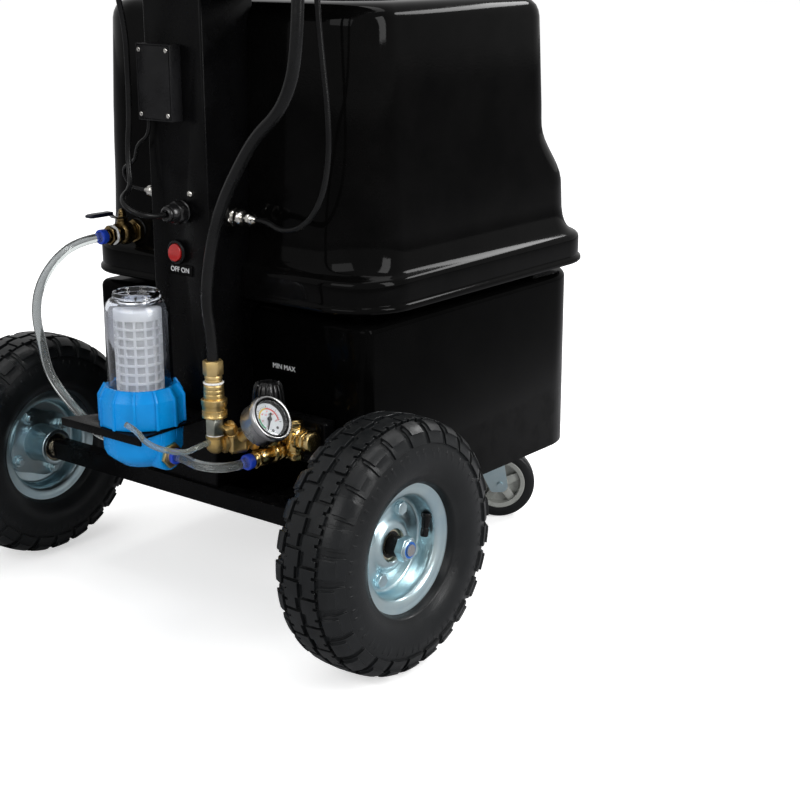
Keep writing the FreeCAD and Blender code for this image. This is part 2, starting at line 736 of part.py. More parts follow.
def tank():
    """The tank: a belt that overhangs the housing and a tall body whose front steps back in an S."""
    low = size("housing_bottom") + size("housing_height") + size("tank_gap")
    belt_top = low + size("belt_height")
    top = belt_top + size("tank_height") - size("belt_height")
    draft = math.tan(math.radians(size("tank_draft")))
    front = size("tank_front")
    depth = size("tank_step_depth")
    rise = size("tank_step_height") - size("belt_height")
    run = size("tank_step_length")
    steps = [(0, 0), (rise, 0), (rise + 0.2 * run, 0.13), (rise + 0.45 * run, 0.5),
             (rise + 0.75 * run, 0.87),
             (rise + run, 0.97), (rise + 1.3 * run, 1), (top - belt_top, 1.06)]
    sections = [tank_section(belt_top + up, size("housing_half_width") - up * draft,
                             size("housing_back") + up * draft, front - depth * share,
                             size("tank_corner"), size("tank_front_corner")) for up, share in steps]
    foot = Part.makeLoft(sections[:2], True, True)
    sweep = Part.makeLoft(sections[1:-1], True, False)
    upper = Part.makeLoft(sections[-2:], True, True)
    shell = foot.fuse([sweep, upper]).removeSplitter()
    lid = max(shell.Faces, key=lambda face: face.CenterOfMass.z)
    loft = set_down(shell.makeFillet(size("tank_top_round"), lid.Edges), "tank_loft")
    belt = rounded_box("tank_belt", "housing_half_width + belt_proud", "housing_back - belt_proud",
                       "belt_front", "housing_bottom + housing_height + tank_gap", "belt_height",
                       "belt_corner", "belt_corner", "belt_round")
    lip = rounded_box("tank_lip", "housing_half_width + belt_proud + belt_lip",
                      "housing_back - belt_proud - belt_lip", "belt_front + belt_lip",
                      "housing_bottom + housing_height + tank_gap", "belt_lip_height",
                      "belt_corner + belt_lip", "belt_corner + belt_lip")
    feet = [rod("tank_foot_%d" % k, "tank_foot_radius", "tank_gap + 1",
                ("%s(housing_half_width - tank_foot_inset)" % sign, at,
                 "housing_bottom + housing_height"))
            for k, (sign, at) in enumerate((("", "housing_back + 18"), ("-", "housing_back + 18"),
                                            ("", "housing_front - 2 * tank_foot_inset"),
                                            ("-", "housing_front - 2 * tank_foot_inset")))]
    neck = rod("filler_neck", "filler_radius", "filler_height + 2",
               ("0", "filler_forward", "housing_bottom + housing_height + tank_gap + tank_height - 2"))
    solid = fused("tank_solid", [loft, belt, lip, neck] + feet)
    slot = block("tank_slot", ("2 * (column_half_width + column_gap)",
                               "column_front + column_gap - housing_back + 40",
                               "tank_height + 60"),
                 ("-column_half_width - column_gap", "housing_back - 40",
                  "housing_bottom + housing_height + tank_gap - 10"))
    mouth = rod("filler_mouth", "filler_radius - filler_wall", "filler_height + 20",
                ("0", "filler_forward", "housing_bottom + housing_height + tank_gap + tank_height - 6"))
    keep(cut("tank_cut", solid, [slot, mouth]), "tank")


def tank_cap():
    base = "housing_bottom + housing_height + tank_gap + tank_height"
    inside = "filler_radius + cap_gap"
    profile = [("0", "filler_height + cap_gap"), (inside, "filler_height + cap_gap"), (inside, "1"),
               ("%s + cap_wall" % inside, "1"), ("%s + cap_wall" % inside, "cap_height", "3"),
               ("0", "cap_height")]
    lid = turned("cap_body", profile, ("0", "filler_forward", base))
    grips = []
    for k in range(16):
        angle = 22.5 * k
        grips.append(rod("cap_grip_%d" % k, "3", "cap_height + 2",
                         ("(%s + cap_wall + 1.2) * cos(%s)" % (inside, angle),
                          "filler_forward + (%s + cap_wall + 1.2) * sin(%s)" % (inside, angle), base)))
    keep(cut("cap_cut", lid, grips), "tank_cap")


def column():
    corners = [("-column_half_width", "column_back", "column_corner"),
               ("column_half_width", "column_back", "column_corner"),
               ("column_half_width", "column_front"), ("-column_half_width", "column_front")]
    low = "wheel_radius + beam_size / 2"
    post = raised("column_post", corners, "%s - (%s)" % (COLUMN_TOP, low), ("0", "0", low))
    socket = rod("switch_socket", "switch_lens_radius + 1.6", "7 + 1",
                 ("switch_offset", "column_back + 7", "switch_z"), "-Y")
    keep(cut("column_cut", post, [socket]), "column")


# Blower head: a saddle on the column carries the drum, its guards, motor and fan

COLUMN_TOP = "(housing_bottom + housing_height + tank_gap + tank_height + 8)"
DRUM_Y = "((column_back + column_front) / 2)"
DRUM_Z = "(%s + drum_clearance + drum_radius)" % COLUMN_TOP


def saddle():
    plate = block("saddle_plate", ("2 * saddle_half_width", "2 * saddle_half_depth",
                                   "drum_clearance + 40"),
                  ("-saddle_half_width", "%s - saddle_half_depth" % DRUM_Y, COLUMN_TOP))
    hollow = rod("saddle_hollow", "drum_radius + 0.2", "2 * saddle_half_depth + 2",
                 ("0", "%s - saddle_half_depth - 1" % DRUM_Y, DRUM_Z), "Y")
    window = [block("saddle_window_%s" % name, ("saddle_half_width", "2 * saddle_half_depth",
                                                "drum_clearance + 40"),
                    (at, "%s - saddle_half_depth + saddle_sheet" % DRUM_Y,
                     "%s + saddle_sheet" % COLUMN_TOP))
              for name, at in (("left", "-saddle_half_width - 20"), ("right", "20"))]
    keep(cut("saddle_cut", plate, [hollow] + window), "drum_saddle")


def drum():
    inside = "drum_radius - drum_wall"
    profile = [(inside, "-drum_half_depth"), ("drum_radius + drum_bead", "-drum_half_depth", "2"),
               ("drum_radius + drum_bead", "-drum_half_depth + drum_bead", "2"),
               ("drum_radius", "-drum_half_depth + drum_bead"),
               ("drum_radius", "drum_half_depth - drum_bead"),
               ("drum_radius + drum_bead", "drum_half_depth - drum_bead", "2"),
               ("drum_radius + drum_bead", "drum_half_depth", "2"), (inside, "drum_half_depth")]
    keep(turned("drum_shell", profile, ("0", DRUM_Y, DRUM_Z), "Y"), "fan_drum")


def guard(node, at, turn):
    """Flat bars from a centre plate to an outer ring that lies on the drum's edge."""
    wide = "guard_wire"
    rings = []
    for name, radius in (("rim", "drum_radius + drum_bead - 2"), ("middle", "guard_middle_radius")):
        rings.append(turned("%s_%s" % (node, name), [("%s - 2 * guard_wire" % radius, "0"), (radius, "0"),
                                                     (radius, wide),
                                                     ("%s - 2 * guard_wire" % radius, wide)],
                            ("0", at, DRUM_Z), turn))
    plate = rod(node + "_plate", "guard_hub_radius", wide, ("0", at, DRUM_Z), turn)
    bars = []
    for k in range(int(size("guard_bars"))):
        spin = FreeCAD.Rotation(FreeCAD.Vector(0, 1, 0), 360.0 * k / size("guard_bars"))
        bar = doc.addObject("Part::Box", "%s_bar_%d" % (node, k))
        tie(bar, "Length", "drum_radius + drum_bead - 2 - guard_wire - guard_hub_radius + 2")
        tie(bar, "Width", "guard_wire")
        tie(bar, "Height", "guard_wire")
        lift = spin.multVec(FreeCAD.Vector(size("guard_hub_radius") - 2, 0, -size("guard_wire") / 2))
        bar.Placement = FreeCAD.Placement(FreeCAD.Vector(lift.x, 0, 0), spin)
        tie(bar, "Placement.Base.y", "%s %s + %s" % (at, "- guard_wire" if turn == "-Y" else "", AXLE_Y))
        tie(bar, "Placement.Base.z", "%s + %.6f" % (DRUM_Z, lift.z))
        bars.append(bar)
    keep(fused(node + "_solid", rings + [plate] + bars), node)


def motor():
    back = "%s - drum_half_depth + 8 + bracket_bar_sheet" % DRUM_Y
    profile = [("0", "0"), ("motor_radius - 8", "0", "4"), ("motor_radius", "10"),
               ("motor_radius", "motor_length - 10", "4"), ("motor_radius - 10", "motor_length"),
               ("motor_shaft_radius", "motor_length"), ("motor_shaft_radius",
                                                        "motor_length + motor_shaft_reach"),
               ("0", "motor_length + motor_shaft_reach")]
    keep(turned("motor_body", profile, ("0", back, DRUM_Z), "Y"), "fan_motor")


def impeller():
    """A hub with twisted blades, each lofted from a steep root to a flat tip."""
    hub_back = "%s - drum_half_depth + 8 + bracket_bar_sheet + motor_length + 3" % DRUM_Y
    hub = turned("impeller_hub", [("motor_shaft_radius + running_gap", "0"), ("fan_hub_radius", "0"),
                                  ("fan_hub_radius", "fan_hub_length - 8", "6"),
                                  ("motor_shaft_radius + running_gap", "fan_hub_length - 2")],
                 ("0", hub_back, DRUM_Z), "Y")
    half_sheet = size("fan_blade_sheet") / 2
    tip = size("drum_radius") - size("drum_wall") - size("fan_tip_gap")
    stations = []
    for share in (0.0, 0.5, 1.0):
        radius = size("fan_hub_radius") - 6 + share * (tip - size("fan_hub_radius") + 6)
        pitch = math.radians(size("fan_blade_pitch") * (1.35 - 0.7 * share))
        half_chord = size("fan_blade_chord") / 2 * (0.6 + 0.4 * share)
        along = FreeCAD.Vector(0, math.sin(pitch), math.cos(pitch)) * half_chord
        thick = FreeCAD.Vector(0, math.cos(pitch), -math.sin(pitch)) * half_sheet
        middle = FreeCAD.Vector(radius, 0, 0)
        loop = [middle + along + thick, middle + along - thick, middle - along - thick,
                middle - along + thick]
        stations.append(Part.makePolygon(loop + loop[:1]))
    blade = Part.makeLoft(stations, True, False)
    count = int(size("fan_blades"))
    blades = []
    for k in range(count):
        copy = set_down(blade, "impeller_blade_%d" % k)
        spin = FreeCAD.Rotation(FreeCAD.Vector(0, 1, 0), 360.0 * k / count)
        blades.append(put(copy, ("0", "%s + fan_hub_length / 2" % hub_back, DRUM_Z), spin))
    keep(fused("impeller_solid", [hub] + blades), "impeller")


def mist_ring():
    """A tube ring before the front guard, with its nozzles and the feed pipe from the hose socket."""
    ahead = "%s + drum_half_depth + guard_wire + mist_tube_radius + seat_gap" % DRUM_Y
    ring = doc.addObject("Part::Torus", "mist_torus")
    tie(ring, "Radius1", "mist_ring_radius")
    tie(ring, "Radius2", "mist_tube_radius")
    put(ring, ("0", ahead, DRUM_Z), "Y")
    nozzles = []
    for k in range(int(size("mist_nozzles"))):
        angle = 360.0 * (k + 0.5) / size("mist_nozzles")
        nozzles.append(rod("mist_nozzle_%d" % k, "mist_nozzle_radius", "mist_nozzle_length",
                           ("mist_ring_radius * cos(%s)" % angle, "%s - mist_tube_radius + 1" % ahead,
                            "%s + mist_ring_radius * sin(%s)" % (DRUM_Z, angle)), "Y"))
    outside = "(drum_radius + drum_bead + mist_tube_radius + seat_gap)"
    depth = "sqrt(%s * %s - socket_offset * socket_offset)" % (outside, outside)
    pipe_z = "%s - %s" % (DRUM_Z, depth)
    socket = rod("mist_socket", "socket_radius", "socket_drop",
                 ("socket_offset", "-socket_back", "%s - socket_drop" % pipe_z))
    knuckles = []
    for k, at in enumerate(("-socket_back", ahead)):
        ball = doc.addObject("Part::Sphere", "mist_knuckle_%d" % k)
        tie(ball, "Radius", "socket_radius" if k == 0 else "mist_tube_radius + 0.01")
        put(ball, ("socket_offset", at, pipe_z))
        knuckles.append(ball)
    pipe = rod("mist_pipe", "mist_tube_radius", "%s + socket_back" % ahead,
               ("socket_offset", "-socket_back", pipe_z), "Y")
    inward = math.degrees(math.asin(size("socket_offset") / (size("drum_radius") + size("drum_bead")
                                                             + size("mist_tube_radius") + size("seat_gap"))))
    spur = rod("mist_spur", "mist_tube_radius", "%s - mist_ring_radius" % outside,
               ("socket_offset", ahead, pipe_z),
               FreeCAD.Rotation(FreeCAD.Vector(0, 1, 0), -inward))
    keep(fused("mist_solid", [ring, socket, pipe, spur] + knuckles + nozzles), "mist_ring")


def motor_bracket():
    """Two upright flat bars across the drum, with a plate behind the motor."""
    back = "%s - drum_half_depth + 8" % DRUM_Y
    plate = rod("bracket_disc", "motor_radius + 12", "bracket_bar_sheet", ("0", back, DRUM_Z), "Y")
    bars = [block("bracket_bar_%d" % k, ("bracket_bar_width", "bracket_bar_sheet", "2 * drum_radius"),
                  ("%s" % at, back, "%s - drum_radius" % DRUM_Z))
            for k, at in enumerate(("-50 - bracket_bar_width / 2", "50 - bracket_bar_width / 2"))]
    inside = rod("bracket_inside", "drum_radius - drum_wall", "30", ("0", "%s - 10" % back, DRUM_Z), "Y")
    thing = doc.addObject("Part::Common", "bracket_trim")
    thing.Base = fused("bracket_bars", [plate] + bars)
    thing.Tool = inside
    keep(thing, "motor_bracket")


# Filter: head and bracket below, clear bowl and ring above

FILTER_Y = "-filter_back"


def filter_unit():
    underside = "bracket_top - bracket_sheet"
    corners = [("bracket_left", "-filter_back - bracket_reach + 63"),
               ("bracket_right", "-filter_back - bracket_reach + 63"),
               ("bracket_right - 2", "-filter_back + 10"), ("column_half_width", "column_back"),
               ("-column_half_width", "column_back"), ("-column_half_width", "-filter_back + 10")]
    plate = raised("bracket_plate", corners, "bracket_sheet", ("0", "0", underside))
    lip = block("bracket_front_lip", ("bracket_right - bracket_left", "bracket_sheet", "bracket_lip"),
                ("bracket_left", "-filter_back - bracket_reach + 63", "bracket_top - bracket_lip"))
    flange = block("bracket_flange", ("2 * column_half_width", "bracket_sheet", "bracket_back_flange"),
                   ("-column_half_width", "column_back - bracket_sheet",
                    "bracket_top - bracket_back_flange"))
    neck_hole = rod("bracket_hole", "filter_neck_radius + ring_bore_gap", "3 * bracket_sheet",
                    ("0", FILTER_Y, "bracket_top - 2 * bracket_sheet"))
    keep(cut("bracket_cut", fused("bracket_fold", [plate, lip, flange]), [neck_hole]), "filter_bracket")

    head = turned("head_body", [("0", "-head_height"), ("head_base_radius", "-head_height", "6"),
                                ("head_radius", "-head_height / 2", "8"), ("head_radius", "0"),
                                ("filter_neck_radius", "0"), ("filter_neck_radius", "neck_height"),
                                ("0", "neck_height")], ("0", FILTER_Y, underside))
    ports = rod("head_ports", "port_radius", "2 * port_reach", ("-port_reach", FILTER_Y, "port_height"),
                "X")
    faces = [rod("head_spot_%d" % k, "fitting_radius + 2", "10",
                 ("%sport_reach" % sign, FILTER_Y, "port_height"), turn)
             for k, (sign, turn) in enumerate((("", "X"), ("-", "-X")))]
    keep(cut("head_cut", fused("head_solid", [head, ports]), faces), "filter_head")

    bore = "filter_neck_radius + ring_bore_gap"
    seat = "neck_height - bracket_sheet + side_gap"
    ring = turned("ring_body", [(bore, "0.3"), ("ring_radius - 3", "0.3"), ("ring_radius", "3"),
                                ("ring_radius", "0.7 * ring_height"), ("bowl_radius + 4", "ring_height"),
                                ("bowl_radius + ring_bore_gap", "ring_height"),
                                ("bowl_radius + ring_bore_gap", "%s + bowl_flange_height + 0.6" % seat),
                                ("bowl_flange + ring_bore_gap", "%s + bowl_flange_height + 0.6" % seat),
                                ("bowl_flange + ring_bore_gap", "%s - 1" % seat),
                                (bore, "%s - 1" % seat)],
                  ("0", FILTER_Y, "bracket_top"))
    flutes = []
    for k in range(int(size("ring_flutes"))):
        angle = 360.0 * k / size("ring_flutes")
        flutes.append(rod("ring_flute_%d" % k, "2.2", "ring_height + 2",
                          ("(ring_radius + 0.8) * cos(%s)" % angle,
                           "%s + (ring_radius + 0.8) * sin(%s)" % (FILTER_Y, angle), "bracket_top - 1")))
    keep(cut("ring_cut", ring, flutes), "filter_ring")

    bowl_low = "bracket_top + %s" % seat
    bowl = [("bowl_radius - bowl_wall", "0"), ("bowl_flange", "0"), ("bowl_flange", "bowl_flange_height"),
            ("bowl_radius", "bowl_flange_height"), ("bowl_radius", "bowl_height", "bowl_round"),
            ("bowl_radius - 9", "bowl_height"), ("bowl_radius - 11", "bowl_height - 4"),
            ("0", "bowl_height - 4"),
            ("0", "bowl_height - 4 - bowl_wall"), ("bowl_radius - bowl_wall", "bowl_height - bowl_round")]
    keep(turned("bowl_body", bowl, ("0", FILTER_Y, bowl_low)), "filter_bowl")

    wide = "cartridge_radius"
    comb = [("0", "0"), (wide, "0"), (wide, "6"), ("cartridge_radius - 2.5", "6")]
    gaps = int(size("cartridge_rings"))
    for k in range(1, gaps):
        low = "6 + (cartridge_height - 16) * %d / %d" % (k, gaps)
        comb += [("cartridge_radius - 2.5", low), (wide, low), (wide, "%s + 3" % low),
                 ("cartridge_radius - 2.5", "%s + 3" % low)]
    comb += [("cartridge_radius - 2.5", "cartridge_height - 10"), (wide, "cartridge_height - 10"),
             (wide, "cartridge_height", "1.5"), ("0", "cartridge_height")]
    keep(turned("cartridge_body", comb, ("0", FILTER_Y, "bracket_top - bracket_sheet + neck_height")),
         "filter_cartridge")

    fittings = []
    for k, (sign, turn) in enumerate((("", "X"), ("-", "-X"))):
        fittings.append(turned("port_fitting_%d" % k,
                               [("0", "0"), ("fitting_radius + 1.5", "0"), ("fitting_radius + 1.5", "3"),
                                ("fitting_radius", "3"), ("fitting_radius", "fitting_length"),
                                ("0", "fitting_length")],
                               ("%sport_reach" % sign, FILTER_Y, "port_height"), turn))
    keep(group("port_fitting_group", fittings), "filter_fittings")


# Ball valve on the tank's rear wall, with its lever along the flow when open

VALVE_RISE = "(valve_z - housing_bottom - housing_height - tank_gap - belt_height)"
VALVE_WALL = "(housing_back + %s * tan(tank_draft))" % VALVE_RISE


def ball_valve():
    profile = [("0", "0"), ("7", "0"), ("7", "4"), ("valve_hex_radius", "4"), ("valve_hex_radius", "12"),
               ("valve_ball_radius - 3", "13"), ("valve_ball_radius", "16", "2"),
               ("valve_ball_radius", "31", "2"),
               ("valve_ball_radius - 3", "34"), ("valve_hex_radius", "35"), ("valve_hex_radius", "41"),
               ("fitting_radius", "41"), ("fitting_radius", "valve_length"), ("0", "valve_length")]
    body = turned("valve_turned", profile, ("valve_offset", VALVE_WALL, "valve_z"), "-Y")
    stem_y = "%s - valve_stem_at" % VALVE_WALL
    boss = rod("valve_boss", "valve_stem_radius + 3", "valve_ball_radius + 5",
               ("valve_offset", stem_y, "valve_z"))
    hole = rod("valve_hole", "valve_stem_radius + running_gap", "valve_ball_radius + 12",
               ("valve_offset", stem_y, "valve_z + 4"))
    keep(cut("valve_cut", fused("valve_fused", [body, boss]), [hole]), "valve_body")
    top = "valve_z + valve_ball_radius + 5 + side_gap"
    stem = rod("lever_stem", "valve_stem_radius", "valve_stem_height - 4 + side_gap",
               ("valve_offset", stem_y, "valve_z + 4.3"))
    arm = block("lever_arm", ("lever_width", "lever_length", "lever_sheet"),
                ("valve_offset - lever_width / 2", "%s + 6 - lever_length" % stem_y, top))
    sleeve = block("lever_sleeve", ("lever_width + 1", "lever_sleeve_length", "lever_sheet + 3"),
                   ("valve_offset - lever_width / 2 - 0.5", "%s + 6 - lever_length - 2" % stem_y,
                    "%s - 0.2" % top))
    nut = prism("lever_nut", 6, "10", "4", ("valve_offset", stem_y, "%s + lever_sheet" % top))
    keep(fused("lever_solid", [stem, arm, sleeve, nut]), "valve_lever")


def collets():
    places = [(("valve_offset", "%s - valve_length" % VALVE_WALL, "valve_z"), "-Y"),
              (("port_reach + fitting_length", FILTER_Y, "port_height"), "X"),
              (("-port_reach - fitting_length", FILTER_Y, "port_height"), "-X"),
              (("inlet_at", "housing_back - pump_depth - inlet_reach", "inlet_z"), "-Y")]
    rings = [turned("collet_%d" % k, [("0", "0"), ("collet_radius - 1.4", "0"),
                                      ("collet_radius - 1.4", "1.6"),
                                      ("collet_radius", "2.4"), ("collet_radius", "collet_length", "1"),
                                      ("0", "collet_length")], place, turn)
             for k, (place, turn) in enumerate(places)]
    keep(group("collet_group", rings), "tube_collets")


# Pump head with its inlet line, relief valve and pressure regulator

def pump():
    back = "housing_back - pump_depth"
    head = raised("pump_block", [("0", "0", "4"), ("pump_width", "0", "4"),
                                 ("pump_width", "pump_height", "4"),
                                 ("0", "pump_height", "4")], "pump_depth",
                  ("pump_left", "housing_back", "pump_bottom"), "-Y")
    inlet = turned("pump_inlet", [("0", "-1"), ("10.5", "-1"), ("10.5", "11"), ("8", "13"), ("8", "15"),
                                  ("11", "15"), ("11", "18"), ("8.5", "18"), ("8.5", "20"), ("11", "20"),
                                  ("11", "23"), ("7.5", "24"), ("7.5", "42"), ("9", "43"),
                                  ("9", "inlet_reach"), ("0", "inlet_reach")],
                   ("inlet_at", back, "inlet_z"), "-Y")
    boss = rod("relief_boss", "relief_radius", "housing_back - pump_depth - relief_ahead + 2",
               ("relief_start + relief_radius", back, "relief_z"), "-Y")
    relief = turned("relief_line", [("0", "0"), ("relief_radius", "0"), ("relief_radius", "14"),
                                    ("relief_radius + 2.5", "14"), ("relief_radius + 2.5", "17"),
                                    ("relief_radius", "17"),
                                    ("relief_radius", "20"), ("relief_radius + 2.5", "20"),
                                    ("relief_radius + 2.5", "23"),
                                    ("relief_radius + 1", "23"),
                                    ("relief_radius + 1", "relief_length", "4"),
                                    ("0", "relief_length")],
                    ("relief_start", "relief_ahead", "relief_z"), "X")
    regulator = rod("regulator_body", "regulator_radius", "regulator_height",
                    ("regulator_at", "0", "regulator_bottom"))
    shaft = rod("regulator_rod", "regulator_shaft", "regulator_height + 14",
                ("regulator_at", "0", "regulator_bottom"))
    link = rod("regulator_link", "8", "%s + 1" % back, ("regulator_at", "0", "regulator_bottom + 13"),
               "Y")
    keep(fused("pump_solid", [head, inlet, boss, relief, regulator, shaft, link]), "pump_head")


def regulator_knob():
    base = "regulator_bottom + regulator_height + side_gap"
    profile = [("regulator_shaft + running_gap", "0"), ("knob_radius", "0"), ("knob_radius", "4"),
               ("knob_radius - 1.5", "0.55 * knob_height"), ("knob_radius - 4.5", "knob_height", "4"),
               ("0", "knob_height"), ("0", "14.6"), ("regulator_shaft + running_gap", "14.6")]
    dome = turned("knob_dome", profile, ("regulator_at", "0", base))
    flutes = []
    for k in range(int(size("knob_flutes"))):
        angle = 360.0 * k / size("knob_flutes")
        flutes.append(rod("knob_flute_%d" % k, "knob_flute_radius", "knob_height",
                          ("regulator_at + (knob_radius - 2.5) * cos(%s)" % angle,
                           "(knob_radius - 2.5) * sin(%s)" % angle, "%s + 5" % base)))
    keep(cut("knob_cut", dome, flutes), "regulator_knob")


def outlet():
    """An elbow under the hose coupler, a square block for the gauge and a stub into the regulator."""
    swing = aimed("Y", (0, 0, 1), -size("outlet_angle"))
    at = ("stack_at", "-stack_back", "outlet_z")
    upright = rod("outlet_upright", "outlet_radius", "9", at)
    turn_ball = doc.addObject("Part::Sphere", "outlet_turn")
    tie(turn_ball, "Radius", "outlet_radius")
    put(turn_ball, at)
    leg = rod("outlet_leg", "outlet_radius", "outlet_reach", at, swing)
    collar = rod("outlet_collar", "outlet_radius + 2.5", "4",
                 ("stack_at + 8 * sin(outlet_angle)", "-stack_back + 8 * cos(outlet_angle)", "outlet_z"),
                 swing)
    near_face = "(block_at - block_size / 2)"
    cube = block("outlet_cube", ("block_size", "block_size", "block_size"),
                 ("stack_at + %s * sin(outlet_angle) - block_size / 2 * cos(outlet_angle)" % near_face,
                  "-stack_back + %s * cos(outlet_angle) + block_size / 2 * sin(outlet_angle)" % near_face,
                  "outlet_z - block_size / 2"),
                 FreeCAD.Rotation(FreeCAD.Vector(0, 0, 1), -size("outlet_angle")))
    plug_turn = aimed("Z", (1, 0, 0), 48)
    plug_turn = FreeCAD.Rotation(FreeCAD.Vector(0, 0, 1), 30).multiply(plug_turn)
    plug = prism("outlet_plug", 6, "2 * plug_radius", "plug_length",
                 ("stack_at + block_at * sin(outlet_angle)",
                  "-stack_back + block_at * cos(outlet_angle)", "outlet_z"),
                 plug_turn)
    body = rod("outlet_stop", "regulator_radius", "60", ("regulator_at", "0", "outlet_z - 30"))
    seat = rod("outlet_seat", "1.16 * adapter_radius + 0.3", "12",
               ("stack_at", "-stack_back", COUPLER_LOW))
    whole = fused("outlet_solid", [upright, turn_ball, leg, collar, cube, plug])
    keep(cut("outlet_cut", whole, [body, seat]), "outlet_elbow")


def gauge():
    """A cup with a bezel, a dial, a glass and a needle, all on one tilted axis."""
    tilt = FreeCAD.Rotation(FreeCAD.Vector(0, 1, 0), 90 - size("gauge_tilt"))
    hub = ("stack_at + block_at * sin(outlet_angle)", "-stack_back + block_at * cos(outlet_angle)",
           "outlet_z")

    def along(text):
        return ("%s + (%s) * cos(gauge_tilt)" % (hub[0], text), hub[1],
                "%s + (%s) * sin(gauge_tilt)" % (hub[2], text))

    inside = "gauge_radius - gauge_wall"
    floor = "gauge_back + gauge_depth - gauge_dial_depth - gauge_wall"
    case = turned("gauge_cup", [("0", "gauge_stem_start"), ("gauge_stem_radius", "gauge_stem_start"),
                                ("gauge_stem_radius", "gauge_back"), ("gauge_radius", "gauge_back", "3"),
                                ("gauge_radius", "gauge_back + gauge_depth - 8"),
                                ("gauge_bezel", "gauge_back + gauge_depth - 8", "1.5"),
                                ("gauge_bezel", "gauge_back + gauge_depth", "1.5"),
                                (inside, "gauge_back + gauge_depth"), (inside, floor), ("0", floor)],
                  hub, tilt)
    keep(case, "gauge_case")
    keep(rod("gauge_face", "%s - 0.1" % inside, "0.8", along(floor), tilt), "gauge_dial")
    keep(rod("gauge_glass_disc", "%s - 0.1" % inside, "gauge_glass",
             along("gauge_back + gauge_depth - 1 - gauge_glass"), tilt), "gauge_glass_pane")
    pointer = turned("needle_hub", [("0", "0"), ("2.4", "0"), ("2.4", "1.4"), ("0", "1.4")],
                     along("%s + 1.1" % floor), tilt)
    blade = block("needle_blade", ("needle_length + 5", "1.4", "0.6"),
                  along("%s + 1.3" % floor), tilt)
    shift = tilt.multVec(FreeCAD.Vector(-5, -0.7, 0))
    for axis, value in zip("xyz", shift):
        prop = "Placement.Base.%s" % axis
        spot = along("%s + 1.3" % floor)["xyz".index(axis)]
        extra = " + %s" % AXLE_Y if axis == "y" else ""
        tie(blade, prop, "%s + (%.6f)%s" % (spot, value, extra))
    keep(fused("needle_solid", [pointer, blade]), "gauge_needle")


# Hose coupler above the elbow

COUPLER_LOW = "(outlet_z + 9)"


def coupler():
    axis = ("stack_at", "-stack_back")
    adapter = prism("adapter_hex", 6, "2 * adapter_radius", "adapter_height + 1", axis + (COUPLER_LOW,))
    low = "%s + adapter_height" % COUPLER_LOW
    body = turned("coupler_turned", [("0", "0"), ("coupler_radius", "0"),
                                     ("coupler_radius", "coupler_height - 4", "1"),
                                     ("coupler_radius - 1.5", "coupler_height - 3"),
                                     ("coupler_radius - 1.5", "coupler_height"),
                                     ("0", "coupler_height")], axis + (low,))
    keep(fused("coupler_solid", [adapter, body]), "coupler_body")
    inside = "coupler_radius + running_gap"
    sleeve = turned("sleeve_turned", [(inside, "0"), ("sleeve_radius - 1", "0"), ("sleeve_radius", "1"),
                                      ("sleeve_radius", "5"), ("sleeve_radius - 1", "6"),
                                      ("sleeve_radius - 1", "8"),
                                      ("sleeve_radius", "9"), ("sleeve_radius", "sleeve_height - 3"),
                                      ("sleeve_radius - 1.5", "sleeve_height"),
                                      (inside, "sleeve_height")],
                    axis + ("%s + 2" % low,))
    keep(sleeve, "coupler_sleeve")
    nut_low = "%s + coupler_height" % low
    neck = rod("hose_nut_neck", "coupler_radius - 2", "nut_neck_height", axis + (nut_low,))
    nut = prism("hose_nut_hex", 6, "nut_width", "nut_height", axis + ("%s + nut_neck_height" % nut_low,))
    keep(fused("hose_nut_solid", [neck, nut]), "hose_nut")


# Switch, cable glands and control box on the column

def switch():
    place = ("switch_offset", "column_back", "switch_z")
    bezel = turned("switch_ring", [("switch_lens_radius + 1", "0"), ("switch_bezel_radius", "0"),
                                   ("switch_bezel_radius", "switch_proud", "1.5"),
                                   ("switch_lens_radius + 1", "switch_proud")], place, "-Y")
    keep(bezel, "switch_bezel")
    tilt = aimed("-Y", (1, 0, 0), size("rocker_tilt"))
    lens = turned("switch_lens", [("0", "-3"), ("switch_lens_radius", "-3"),
                                  ("switch_lens_radius", "2.2", "1"),
                                  ("0", "3")], ("switch_offset", "column_back - 2.4", "switch_z"), tilt)
    pin = rod("switch_pin", "1.2", "2 * switch_lens_radius + 1.7",
              ("switch_offset - switch_lens_radius - 0.85", "column_back - 1.6", "switch_z"), "X")
    keep(fused("switch_rocker_solid", [lens, pin]), "switch_rocker")


def gland_profile(radius, length, cable):
    return [("0", "0"), (radius, "0"), (radius, "%s * 0.35" % length),
            ("%s - 2" % radius, "%s * 0.4" % length),
            ("%s - 1" % radius, "%s * 0.45" % length), ("%s - 2" % radius, "%s * 0.8" % length),
            ("%s + 1.5" % cable, length), ("0", length)]


def drum_glands():
    """Two cable glands whose tops follow the drum's round wall."""
    pieces = []
    for name, x, y, low in (("fan", "-40", "-40", "672"), ("motor", "165", "25", "722")):
        stub = turned(name + "_drum_gland", [("0", "0"), ("cable_radius + 2", "0"),
                                             ("cable_radius + 5", "5"),
                                             ("cable_radius + 5", "60"), ("0", "60")], (x, y, low))
        wall = rod(name + "_gland_wall", "drum_radius", "60", ("0", "%s - 30" % y, DRUM_Z), "Y")
        pieces.append(cut(name + "_gland_cut", stub, [wall]))
    return pieces


def glands():
    rear = turned("rear_gland", gland_profile("gland_radius", "gland_length", "cable_radius"),
                  ("gland_offset", "column_back", "gland_z"), "-Y")
    right = turned("right_gland", gland_profile("side_gland_radius", "side_gland_length", "cable_radius"),
                   ("column_half_width", "27", "426"), "X")
    left = turned("left_gland", gland_profile("side_gland_radius - 2", "left_gland_length",
                                              "thin_cable_radius"),
                  ("-column_half_width", "3", "447"), "-X")
    keep(group("gland_group", [rear, right, left] + drum_glands()), "cable_glands")


